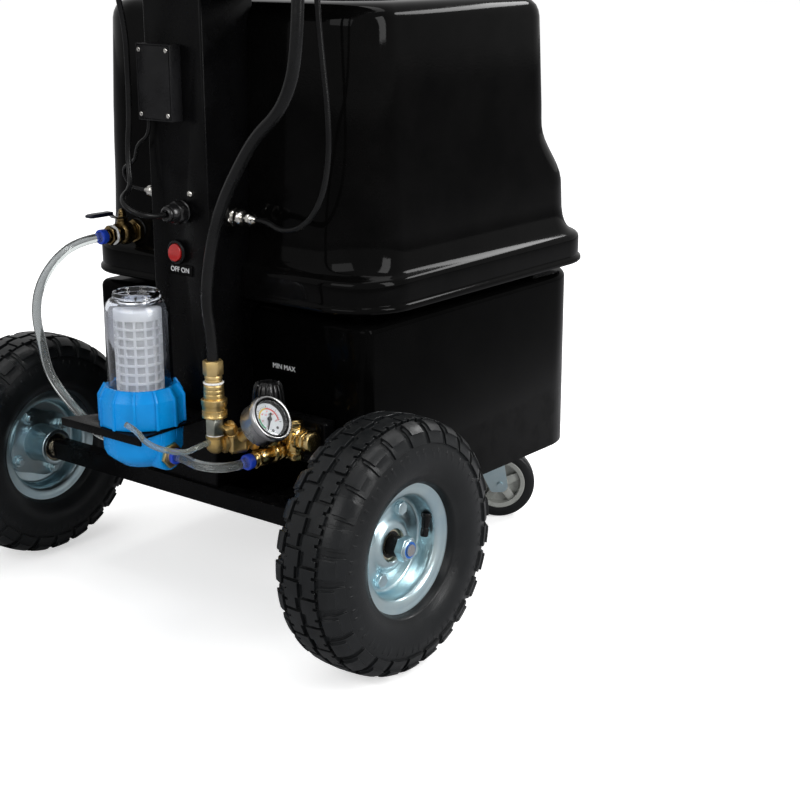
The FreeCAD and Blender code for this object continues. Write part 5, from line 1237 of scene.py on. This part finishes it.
# %% Elbow and block
OUTLET_ANGLE = math.radians(26)
outlet_way = Vector((math.sin(OUTLET_ANGLE), math.cos(OUTLET_ANGLE), 0))
ELBOW = (90, -54, 211)
BLOCK = (90 + 22 * outlet_way.x, -54 + 22 * outlet_way.y, 211)
ball = lathe("elbow_ball", [(0, -10.4), (3.6, -9.8), (6.6, -8.1), (8.9, -5.4), (10.2, -2.2), (10.4, 0),
    (10.2, 2.2), (9.4, 5.2), (9.2, 6.4), (10.2, 6.8), (10.2, 8.8), (9.4, 9.4), (0, 9.4)], 48)
lay(ball, ELBOW)
leg = lathe("elbow_leg", [(0, 4), (8.4, 4), (8.4, 7), (10.9, 7.6), (10.9, 10.4), (9, 11), (9, 33),
    (8.2, 34), (8.2, 37), (9.6, 37.4), (9.6, 41.5), (8, 42), (8, 50), (0, 50)], 48)
lay(leg, ELBOW, outlet_way)
outlet_nut = turned_hexagon("outlet_nut", 20, 36, 44)
lay(outlet_nut, ELBOW, outlet_way, 12)
cube = add("cube", "gauge_block", size=22)
edit(cube)
everything()
bpy.ops.mesh.bevel(offset=3.4 * MM, segments=1, affect="EDGES")
pick(cube, lambda c, n: max(abs(n.x), abs(n.y), abs(n.z)) > 0.99)
inset(1.6, use_individual=True)
swell(-0.5)
leave()
soften(cube, 0.5, 2, 25)
lay(cube, BLOCK, outlet_way, -26)
plug_way = Vector((0.2, -0.58, 0.79))
plug_neck = lathe("plug_neck", [(0, 8), (6.4, 8), (6.4, 15), (5.6, 15.5), (5.6, 17.5), (0, 17.5)], 32)
plug = turned_hexagon("slotted_plug", 12.4, 17.5, 27)
carve(plug, block("plug_slot", (20, 2, 3.4), (0, 0, 27)))
for piece in (plug_neck, plug):
    lay(piece, BLOCK, plug_way, 15)
outlet = join([ball, leg, outlet_nut, cube, plug_neck, plug], "outlet_brass")
dress(outlet, cast_brass, "brass", "outlet_elbow")

# %% [markdown]
# ## Pressure gauge
# The gauge is a pressed steel cup with a rolled bezel, standing on a hexagon. The dial lies deep
# under the glass. Its colour bands are strips spun around the middle, its marks are small blocks
# turned around the middle, and its numbers are text made into a mesh.

# %% Gauge case
TILT = math.radians(34)
gauge_way = Vector((math.cos(TILT), 0, math.sin(TILT)))
case = lathe("gauge_cup", [(0, 35.4), (15, 35.4), (18.4, 36.2), (19.8, 38.2), (19.9, 53.4), (20.1, 54.2),
    (21.2, 54.6), (21.9, 55.6), (22, 58.6), (21.7, 60.8), (20.9, 62.1), (19.8, 62.5), (18.7, 62.1),
    (17.7, 61), (17.4, 60.2), (18.3, 59.8), (18.3, 55), (0, 55)], 96)
stem = turned_hexagon("gauge_stem", 14, 25, 33.5)
stem_rod = lathe("gauge_stem_rod", [(0, 10), (5.4, 10), (5.4, 25.5), (6.8, 33), (6.8, 35.8), (0, 35.8)], 32)
stem = join([stem, stem_rod], "gauge_stem")
glass = lathe("gauge_window", [(0, 60), (16.7, 60), (16.7, 60.6), (14.5, 60.9), (9, 61.2), (0, 61.3)])
WIDE, DIAL_WIDE = 1.13, 0.98


def on_gauge(piece, look, slot, *nodes, body="chassis", wide=WIDE):
    """Scale a part across to its diameter, lay it on the tilted axis and dress it."""
    edit(piece)
    everything()
    stretch(wide, wide, 1, center_override=(0, 0, 0))
    leave()
    lay(piece, BLOCK, gauge_way)
    dress(piece, look, slot, *nodes, body=body)


on_gauge(case, steel, "steel", "gauge_case")
on_gauge(stem, brass, "brass")
on_gauge(glass, clear_plastic, "clear_plastic", "gauge_glass_pane")


# %% Dial
def band(name, inner, outer, low, high, start, sweep):
    """A strip around Z, spun from an upright rectangle, with its angles in degrees."""
    strip = add("plane", name, size=1, rotation=(math.pi / 2, 0, 0))
    strip.scale = (outer - inner, high - low, 1)
    bake()
    strip.matrix_world = moved(turn=start) @ moved((inner + outer) / 2, 0, (low + high) / 2)
    bake()
    edit(strip)
    everything()
    bpy.ops.mesh.spin(steps=max(2, int(abs(sweep) / 4)), angle=-math.radians(sweep), center=(0, 0, 0),
        axis=(0, 0, 1))
    face_outwards()
    leave()
    return strip


FACE = 55.6
DIAL_START, DIAL_SWEEP = -40, -255
plain_tone = {"grain": (1500, 0.02)}
dial_green = finish("dial_green", ((0.01, 0.36, 0.13), (0.02, 0.42, 0.16)), (0.42, 0.5), **plain_tone)
dial_yellow = finish("dial_yellow", ((0.72, 0.5, 0.03), (0.8, 0.56, 0.04)), (0.42, 0.5), **plain_tone)
dial_red = finish("dial_red", ((0.66, 0.02, 0.015), (0.74, 0.03, 0.02)), (0.42, 0.5), **plain_tone)
dial_black = finish("dial_black", ((0.008, 0.008, 0.009), (0.012, 0.012, 0.013)), (0.35, 0.45),
    **plain_tone)
face = lathe("dial_plate", [(0, 54.8), (18.1, 54.8), (18.1, FACE - 0.1), (18, FACE), (0, FACE)])
on_gauge(face, dial_white, "white_plastic", "gauge_dial")
# The black ring between the dial and the bezel is painted shade on the inner wall of the cup.
shade_ring = lathe("dial_shade_ring", [(15, 55.5), (15.4, 55.9), (16.5, 58.6), (16.9, 61.2), (17.3, 61.9),
    (17.9, 62), (18.1, 61.4), (18.1, 55.5), (15, 55.5)], 96)
on_gauge(shade_ring, frame_black, "black_plastic")
for tone, start, end, name in ((dial_green, -50, -108, "green"), (dial_yellow, -108, -189, "yellow"),
        (dial_red, -189, -290, "red")):
    strip = band("dial_band_" + name, 10.8, 12.4, FACE - 0.1, FACE + 0.12, start, end - start)
    on_gauge(strip, tone, "white_plastic", wide=DIAL_WIDE)


def mark_turn(k):
    """The turn to one of the 26 places on the scale."""
    return moved(turn=DIAL_START + DIAL_SWEEP * k / 25)


rivet = lathe("dial_rivet", [(0, FACE), (1.5, FACE), (1.5, FACE + 0.25), (1.1, FACE + 0.4),
    (0, FACE + 0.4)], 20, edge=None)
marks = repeat(block("dial_mark_long", (2.2, 0.6, 0.3), (13.9, 0, FACE)),
    [mark_turn(k) for k in range(0, 26, 5)])
marks += repeat(block("dial_mark_short", (1.2, 0.36, 0.3), (13.4, 0, FACE)),
    [mark_turn(k) for k in range(26) if k % 5])
marks += repeat(rivet, [moved(turn=turn) @ moved(12.2) for turn in (28, -6)])
marks = join(marks, "dial_marks")
on_gauge(marks, dial_black, "black_plastic", wide=DIAL_WIDE)
UPRIGHT = DIAL_START + DIAL_SWEEP / 2 - 90


def lettering(name, words, height, thickness=0.2):
    """Flat letters in the XY plane, centred, as a mesh."""
    bpy.ops.object.text_add(location=(0, 0, 0))
    letters = bpy.context.object
    letters.name = name
    letters.data.body = words
    letters.data.align_x = "CENTER"
    letters.data.align_y = "CENTER"
    letters.data.size = height * MM
    letters.data.extrude = thickness / 2 * MM
    letters.data.resolution_u = 3
    bpy.ops.object.convert(target="MESH")
    return bpy.context.object


numbers = []
for k, value in enumerate(("0", "20", "40", "60", "80", "100")):
    angle = math.radians(DIAL_START + DIAL_SWEEP * k / 5)
    number = lettering("dial_number_" + value, value, 2.7)
    number.matrix_world = moved(8.6 * math.cos(angle), 8.6 * math.sin(angle), FACE, turn=UPRIGHT)
    numbers.append(number)
unit = lettering("dial_unit", "bar", 2.6)
unit.matrix_world = moved(turn=UPRIGHT + 90) @ moved(5.6, 0, FACE, turn=-90)
numbers.append(unit)
numbers = join(numbers, "dial_numbers")
on_gauge(numbers, dial_red, "red_plastic", wide=DIAL_WIDE)

# %% Needle
needle = block("black_needle", (4, 2.2, 0.5))
edit(needle)
pick(needle, lambda c, n: n.x > 0.9)
for forward, narrow in ((5, 0.7), (6, 0.5)):
    extrude(forward, 0, 0)
    stretch(1, narrow, 1)
pick(needle, lambda c, n: n.x < -0.9)
for back, wide in ((2, 0.62), (1.6, 2.2), (1.4, 0.5)):
    extrude(-back, 0, 0)
    stretch(1, wide, 1)
leave()
needle.matrix_world = moved(z=57.2, turn=DIAL_START)
hub = lathe("needle_boss", [(0, 56.2), (2.3, 56.2), (2.3, 57.6), (1.9, 58), (0, 58.1)], 24)
needle = join([needle, hub], "black_needle")
on_gauge(needle, dial_black, "black_plastic", "gauge_needle", body="needle", wide=DIAL_WIDE)

# %% [markdown]
# ## Pressure knob
# The knob that sets the pressure is a black dome with upright fins. The dome is spun in steps, and
# every second pair of steps is extruded outwards as a fin.

# %% Finned knob
knob = lathe("finned_knob", [(0, 14.4), (4.2, 14.4), (4.2, 0.1), (16.6, 0.1), (17.4, 0.9), (17.4, 3.4),
    (16.4, 4.4), (14.2, 5), (13.9, 9), (13.5, 14), (12.9, 19), (12, 23.4), (10.2, 27), (7.6, 29.4),
    (6.4, 30), (5.6, 29.2), (0, 29)], 64, edge=None)
edit(knob)
fins = raise_faces(knob, lambda c, n: 9 < radius_of(c) < 15 and 5 < c.z < 28 and n.z > -0.3
    and step_of(c, 64) % 4 < 2, 3)
leave()
soften(knob, 0.5, 2, 30)
lay(knob, (113, 0, 238.8))
dress(knob, deep_black, "black_plastic", "regulator_knob", body="knob")
print("knob fins on", fins, "faces")

# %% [markdown]
# ## Pump head fittings
# The pump itself is a dark casting on the rear wall. Bright brass fittings stand out of it: the
# suction line towards the filter, a tee with a relief valve, and the regulator under the knob.

# %% Pump casting
casting = block("pump_casting", (62, 17.6, 48), (129, 42.8, 200))
soften(casting, 4, 4)
edit(casting)
pick(casting, lambda c, n: n.y < -0.99)
inset(4)
swell(2)
inset(1.2)
leave()
screw = turned_hexagon("casting_screw", 7, 0, 3.2)
corners = [moved(x, 34, z, turn=90, axis="X") for x in (105, 153) for z in (183, 217)]
casting = join([casting] + repeat(screw, corners), "pump_casting")
lay(casting)
dress(casting, frame_black, "black_paint")

# %% Brass fittings on the pump
suction = turned_part("suction_line", [(0, -1), (10.2, -1), (10.2, 2), (8.4, 3), (8.4, 12), (7.4, 13),
    (7.4, 25), (9.6, 26), (10.2, 27.2), (10.2, 30), (9.4, 31), (7.9, 32.5), (7.9, 41), (9.1, 42), (9.1, 50),
    (8.4, 51), (0, 51)], 48, (19, 3, 11), (18, 14, 23.5))
lay(suction, (112, 34, 190), REAR, 9)
tee = turned_part("relief_tee", [(0, 184), (7.2, 184), (7.2, 193), (9.2, 194.5), (9.9, 198), (10.2, 206),
    (9.9, 214), (9.2, 217), (7.4, 218.5), (7.4, 226), (6.4, 227), (0, 227)], 48, (15, 184, 191),
    (15, 219, 225))
lay(tee, (131, 20, 0), spin=20)
relief = turned_part("relief_valve", [(0, 0), (8.5, 0), (8.5, 8), (7.6, 9), (7.6, 14), (10.4, 15),
    (11.6, 16.4), (11.6, 20), (10.4, 21.2), (8.6, 21.6), (8.6, 29), (10.6, 30), (11.4, 31.4), (11.4, 35.6),
    (10.2, 37.6), (7.2, 38.6), (0, 38.6)], 48, (20, 22, 29))
lay(relief, (119, 20, 207), (1, 0, 0), 25)
regulator = lathe("regulator_brass", [(0, 201.8), (9, 201.8), (11.6, 203), (11.9, 205), (11.9, 212),
    (10.6, 213), (10.6, 222), (11.6, 223), (11.6, 229), (9.2, 230.5), (9.2, 235), (7.6, 236), (7.6, 238.4),
    (0, 238.4)], 48)
lay(regulator, (113, 0, 0))
bridge = turned_part("regulator_bridge", [(0, 0), (7.9, 0), (7.9, 14), (9.6, 15), (9.6, 18), (7.9, 19),
    (7.9, 35.5), (0, 35.5)], 40, (17, 22, 29))
lay(bridge, (113, 0, 214.5), (0, 1, 0))
spindle = lathe("regulator_spindle", [(0, 238), (3.9, 238), (3.9, 252), (0, 252)], 24, edge=None)
lay(spindle, (113, 0, 0))
fittings = join([suction, tee, relief, regulator, bridge, spindle], "pump_brass")
dress(fittings, shiny_brass, "brass", "pump_head")

# %% [markdown]
# ## Switch, glands and plates
# The mist switch is a round red rocker in a black bezel. Its face is cut off at a slant, because
# one half is pressed in. Cables pass the sheet through glands: a black one with a rubber boot on
# the back, and nickel-plated ones at the sides. Every gland ends in a taper around its cable.

# %% Switch
SHEET = -7
bezel = lathe("switch_collar", [(9.5, 0), (12.1, 0), (12.5, 0.5), (12.5, 1.4), (12, 2.2), (10.9, 2.9),
    (10.1, 2.9), (9.6, 2.4), (9.5, 0)])
rocker = lathe("red_rocker", [(0, -1.5), (9.1, -1.5), (9.1, 5.6), (0, 5.6)], 64, edge=None)
edit(rocker)
everything()
slant = math.radians(9)
bpy.ops.mesh.bisect(plane_co=(0, 0, 4.6 * MM), plane_no=(0, math.sin(slant), math.cos(slant)),
    use_fill=True, clear_outer=True)
leave()
soften(rocker, 0.9, 4, 30)
for piece, look, slot, node, body in ((bezel, plastic_black, "black_plastic", "switch_bezel", "chassis"),
        (rocker, switch_red, "red_plastic", "switch_rocker", "rocker")):
    lay(piece, (-5, SHEET, 388.6), REAR)
    dress(piece, look, slot, node, body=body)

# %% Glands
rear_gland = turned_part("rear_gland", [(3.2, 0), (11.4, 0), (11.8, 0.8), (11.8, 2.4), (11, 3.2),
    (9.8, 3.4), (9.8, 12.8), (10.3, 13.4), (10.1, 15.6), (9.5, 18.4), (8.7, 20.6), (8.2, 21.4), (8.4, 22.2),
    (8.2, 23.6), (7.4, 24.8), (6.2, 25.6), (5, 25.4), (4.4, 24.2), (3.2, 23.6), (3.2, 0)], 64,
    (21.5, 3.2, 13.2))
lay(rear_gland, (7, SHEET, 432), REAR)
dress(rear_gland, deep_black, "black_plastic", "cable_glands")
side_gland = turned_part("side_gland", [(0, 0), (7.4, 0), (7.4, 6), (6.6, 6.6), (6.6, 8), (7.6, 8.6),
    (8.6, 10), (8.6, 15), (7.6, 17), (5.2, 18), (5.2, 21), (6.4, 22), (6.4, 30), (5.6, 32.4), (4.2, 34),
    (3.2, 36), (0, 36)], 48, (17, 0, 5.5), (15.6, 9, 15), (12.6, 22.5, 29))
lay(side_gland, (41.5, 27, 426), (1, 0, 0), 14)
small_gland = turned_part("small_gland", [(0, 0), (5.4, 0), (5.4, 5), (6.2, 6), (6.2, 10.5), (5, 12.4),
    (3.2, 13.4), (2.2, 18), (0, 18)], 40, (12.6, 0, 4.4))
lay(small_gland, (-41.5, 3, 447), (-1, 0, 0), 10)
for piece in (side_gland, small_gland):
    dress(piece, nickel, "nickel")
for name, cable in (("fan_cable_boot", "fan_cable"), ("motor_cable_boot", "motor_cable")):
    before, end = [Vector(point) for point in ROUTES[cable][-2:]]
    boot = lathe(name, [(3.1, -9), (4.2, -9), (4.8, -6), (4.4, -5.4), (5.6, -1), (5.1, -0.4), (6.4, 5),
        (7.6, 6), (8, 8), (8, 25), (3.1, 25), (3.1, -9)], 40)
    lay(boot, tuple(end), (end - before).normalized())
    dress(boot, plastic_black, "black_plastic")

# %% Screws and plates
screw = lathe("column_screw", [(0, -0.5), (3.6, -0.5), (3.6, 0.3), (3.2, 1.3), (2.2, 1.9), (0, 2.2)], 32,
    edge=None)
carve(screw, block("screw_slot", (0.8, 4.2, 1.4), (0, 0, 2)))
soften(screw, 0.1, 1)
for name, x, z in (("column_screw_a", 17.7, 451), ("column_screw_b", -28, 655),
        ("column_screw_c", 28, 655)):
    copy = lay(twin(screw, name), (x, SHEET, z), REAR, 35)
    dress(copy, nickel, "nickel")
bpy.data.objects.remove(screw)
for name, x, y, z, words in (("switch_plate", -1, SHEET, 370.5, "OFF ON"),
        ("knob_plate", 88, 51.6, 268, "MIN MAX")):
    plate = block(name, (36, 11, 0.8), (0, 0, 0.3))
    edit(plate)
    pick(plate, lambda c, n: n.z > 0.9)
    inset(0.7)
    shift(0, 0, -0.15)
    leave()
    soften(plate, 0.15, 1)
    letters = lettering(name + "_marks", words, 7.6, 0.3)
    letters.matrix_world = moved(z=0.62)
    bake()
    for piece, look, slot in ((plate, gloss_black, "black_plastic"),
            (letters, dial_white, "white_plastic")):
        only(piece)
        piece.matrix_world = Matrix.Translation(at(x, y, z)) @ moved(turn=90, axis="X")
        bake()
        dress(piece, look, slot)

# %% Control box
box = block("control_box_case", (49, 15, 76), (-12.5, -14.5, 562))
edit(box)
pick(box, lambda c, n: n.y < -0.9)
inset(1.2)
extrude(0, 1.2, 0)
inset(0.8)
extrude(0, -1.2, 0)
leave()
soften(box, 0.8, 3)
lay(box)
dress(box, plastic_black, "black_plastic", "control_box")
screws = repeat(hex_piece("box_screw", 4.6, 1.6, dish=0.3), [moved()] * 4)
for k, (screw, x, z) in enumerate(zip(screws, (-32, 7, -32, 7), (530, 530, 594, 594))):
    lay(screw, (x, -22, z), REAR, 20 * k)
    dress(screw, nickel, "nickel")

# %% [markdown]
# ## Shade sheet
# Between the axle beam and the housing the floor lies in shade, but the glowing floor stays light there.
# A black sheet under the frame is painted shade that closes that gap. Its underside is divided into
# nine fields, and each is pressed in a little.

# %% Shade sheet
frame_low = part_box("chassis_frame")[0]
SHEET_TOP = frame_low.z / MM - 0.1
sheet = block("shade_sheet", (392, 356, 1.6), (0, 182, SHEET_TOP - 0.8))
edit(sheet)
pick(sheet, lambda c, n: n.z < -0.9)
bpy.ops.mesh.subdivide(number_cuts=2)
pick(sheet, lambda c, n: n.z < -0.9)
inset(12, use_individual=True)
swell(-0.6)
leave()
soften(sheet, 0.2, 1)
lay(sheet)
dress(sheet, frame_black, "black_paint")
print("belly sheet from", round(frame_low.z, 4), "down")

# %% [markdown]
# ## Tank
# The tank is rotationally moulded, so all its edges are round and its wall flows out into the belt.
# The bottom outline is a rounded rectangle. It is extruded up in rings, and each ring is scaled about
# the back edge to the outline of its height: lip, belt, flare, wall, shoulder and top.

# %% Tank body
TANK_BACK, TANK_FRONT, TANK_HALF = 51.6, 441, 202


def rounded_plate(name, half, back, front, low, corner, steps=12):
    """A flat rounded rectangle, lying at one height."""
    plate = add("plane", name, size=1)
    plate.scale = (2 * half, front - back, 1)
    plate.location = (0, (front + back) / 2 * MM, low * MM)
    bake()
    bpy.ops.object.mode_set(mode="EDIT")
    everything()
    bpy.ops.mesh.bevel(offset=corner * MM, segments=steps, affect="VERTICES")
    leave()
    return plate


def tank_front_at(z):
    """The front wall steps back by 40 mm in a smooth curve."""
    way = min(max((z - 430) / 70, 0), 1)
    return TANK_FRONT - 40 * (3 - 2 * way) * way * way


rings = [(338, 8.5), (339, 14.5), (340.5, 15.5), (343, 15.5), (344.4, 15), (345.4, 13.8), (346.6, 13.2),
    (349, 13.5), (366, 13.5), (369, 13), (371.2, 11.8), (372.8, 10), (374.6, 7.6), (378, 5), (383.5, 2.8),
    (391, 1.1), (402, 0)]
rings += [(402 + 8 * k, -0.28 * k) for k in range(1, 14)]
rings += [(522 + 24 * k, -3.9 - 0.84 * k) for k in range(5)]
rings += [(624, -8.2), (630, -10.4), (635, -14.6), (638.4, -20), (640, -27)]
tank_body = rounded_plate("tank_body", TANK_HALF + 8.5, TANK_BACK - 8.5, TANK_FRONT + 12.6, 338, 62)
edit(tank_body)
everything()
half, back, front, height = TANK_HALF + 8.5, TANK_BACK - 8.5, TANK_FRONT + 12.6, 338
for z, out in rings[1:]:
    new_half, new_back = TANK_HALF + out, TANK_BACK - out
    new_front = tank_front_at(z) + (out * 20 / 13.5 if out > 0 else out)
    extrude(0, 0, z - height)
    stretch(new_half / half, (new_front - new_back) / (front - back), 1,
        center_override=(0, back * MM, z * MM))
    shift(0, new_back - back, 0)
    half, back, front, height = new_half, new_back, new_front, z
inset(20)
shift(0, 0, 1)
face_outwards()
leave()
neck = lathe("filler_neck", [(0, 636), (50, 636), (50, 640.4), (46, 641), (45, 641.8), (45, 652), (44, 653),
    (41, 653), (41, 630), (0, 630)], 72, edge=None)
neck.matrix_world = moved(0, 280)
foot = lathe("tank_foot", [(0, 325.5), (7.4, 325.5), (8, 326.2), (8.4, 336), (10, 339), (0, 339)], 32,
    edge=None)
feet = repeat(foot, [moved(x, y) for x in (154, -154) for y in (90, 400)])
plinth = rounded_plate("tank_plinth", 168, 78, 412, 326.3, 60)
edit(plinth)
everything()
extrude(0, 0, 13)
leave()
carve(tank_body, block("column_passage", (84, 60, 400), (0, 37.2, 500)))
tank_body = join([tank_body, neck, plinth] + feet, "tank_body")
bpy.ops.object.shade_smooth_by_angle(angle=math.radians(35))
lay(tank_body)
dress(tank_body, gloss_black, "black_moulding", "tank")
print("tank has", len(tank_body.data.polygons), "faces")

# %% [markdown]
# ## Smooth copies
# The other large shells keep their CAD shape. Each one is copied, its loose triangles are merged,
# and its rounded corners are shaded smooth.


# %% Merged copies
def smooth_copy(node, look, slot, edge=0, body="chassis"):
    """A merged copy of a CAD node, with its edges broken if a width is given."""
    copy = twin(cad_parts[node], node + "_shell")
    edit(copy)
    everything()
    bpy.ops.mesh.remove_doubles(threshold=CLOSE)
    face_outwards()
    leave()
    bake()
    soften(copy, edge, 2, 50)
    dress(copy, look, slot, node, body=body)


for node, look, slot in (("lower_housing", housing_black, "black_moulding"),
        ("fan_drum", powder_black, "black_paint"), ("fan_motor", powder_black, "black_paint"),
        ("mist_ring", nickel, "nickel")):
    smooth_copy(node, look, slot)
smooth_copy("tank_cap", plastic_black, "black_plastic", body="cap")
for node in ("column", "filter_bracket", "chassis_frame"):
    smooth_copy(node, frame_black, "black_paint", 0.7)

# %% [markdown]
# ## Finishes for the CAD pieces
# Where the CAD solid already has the right shape, it stays and only gets its finish.

# %% Finishes by node
FINISHES = {
    gloss_black: ["tank"],
    housing_black: ["lower_housing"],
    frame_black: ["chassis_frame", "column", "drum_saddle", "filter_bracket"],
    powder_black: ["fan_drum", "rear_guard", "front_guard", "motor_bracket", "fan_motor"],
    plastic_black: ["tank_cap", "impeller", "regulator_knob", "switch_bezel", "cable_glands",
        "control_box"],
    tyre_rubber: ["right_tyre", "left_tyre"],
    caster_rubber: ["right_caster_tread", "left_caster_tread"],
    caster_grey: ["right_caster_wheel", "left_caster_wheel"],
    zinc: ["right_rim", "left_rim", "axle_nuts", "right_rim_bolts", "left_rim_bolts", "caster_plates",
        "right_caster_fork", "left_caster_fork"],
    steel: ["axle", "right_bearings", "left_bearings", "valve_lever", "gauge_case"],
    nickel: ["mist_ring"],
    brass: ["valve_body", "coupler_body", "coupler_sleeve", "hose_nut", "filter_fittings"],
    cast_brass: ["pump_head", "outlet_elbow"],
    filter_blue: ["filter_head", "filter_ring"],
    collet_blue: ["tube_collets"],
    clear_plastic: ["filter_bowl", "gauge_glass_pane"],
    white_plastic: ["filter_cartridge"],
    dial_white: ["gauge_dial"],
    hose_rubber: ["gauge_needle"],
    switch_red: ["switch_rocker"],
}
for look, names in FINISHES.items():
    for name in names:
        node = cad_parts[name]
        node.data.materials.clear()
        node.data.materials.append(look)
        for face in node.data.polygons:
            face.use_smooth = False
plain = set(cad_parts) - {n for names in FINISHES.values() for n in names} - set(ROUTES)
print("nodes without a finish:", sorted(plain))

# %% Sizes
bpy.context.view_layer.update()
visual_box = [list(corner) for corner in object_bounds()]
print("visual box", [[round(c, 3) for c in corner] for corner in visual_box])
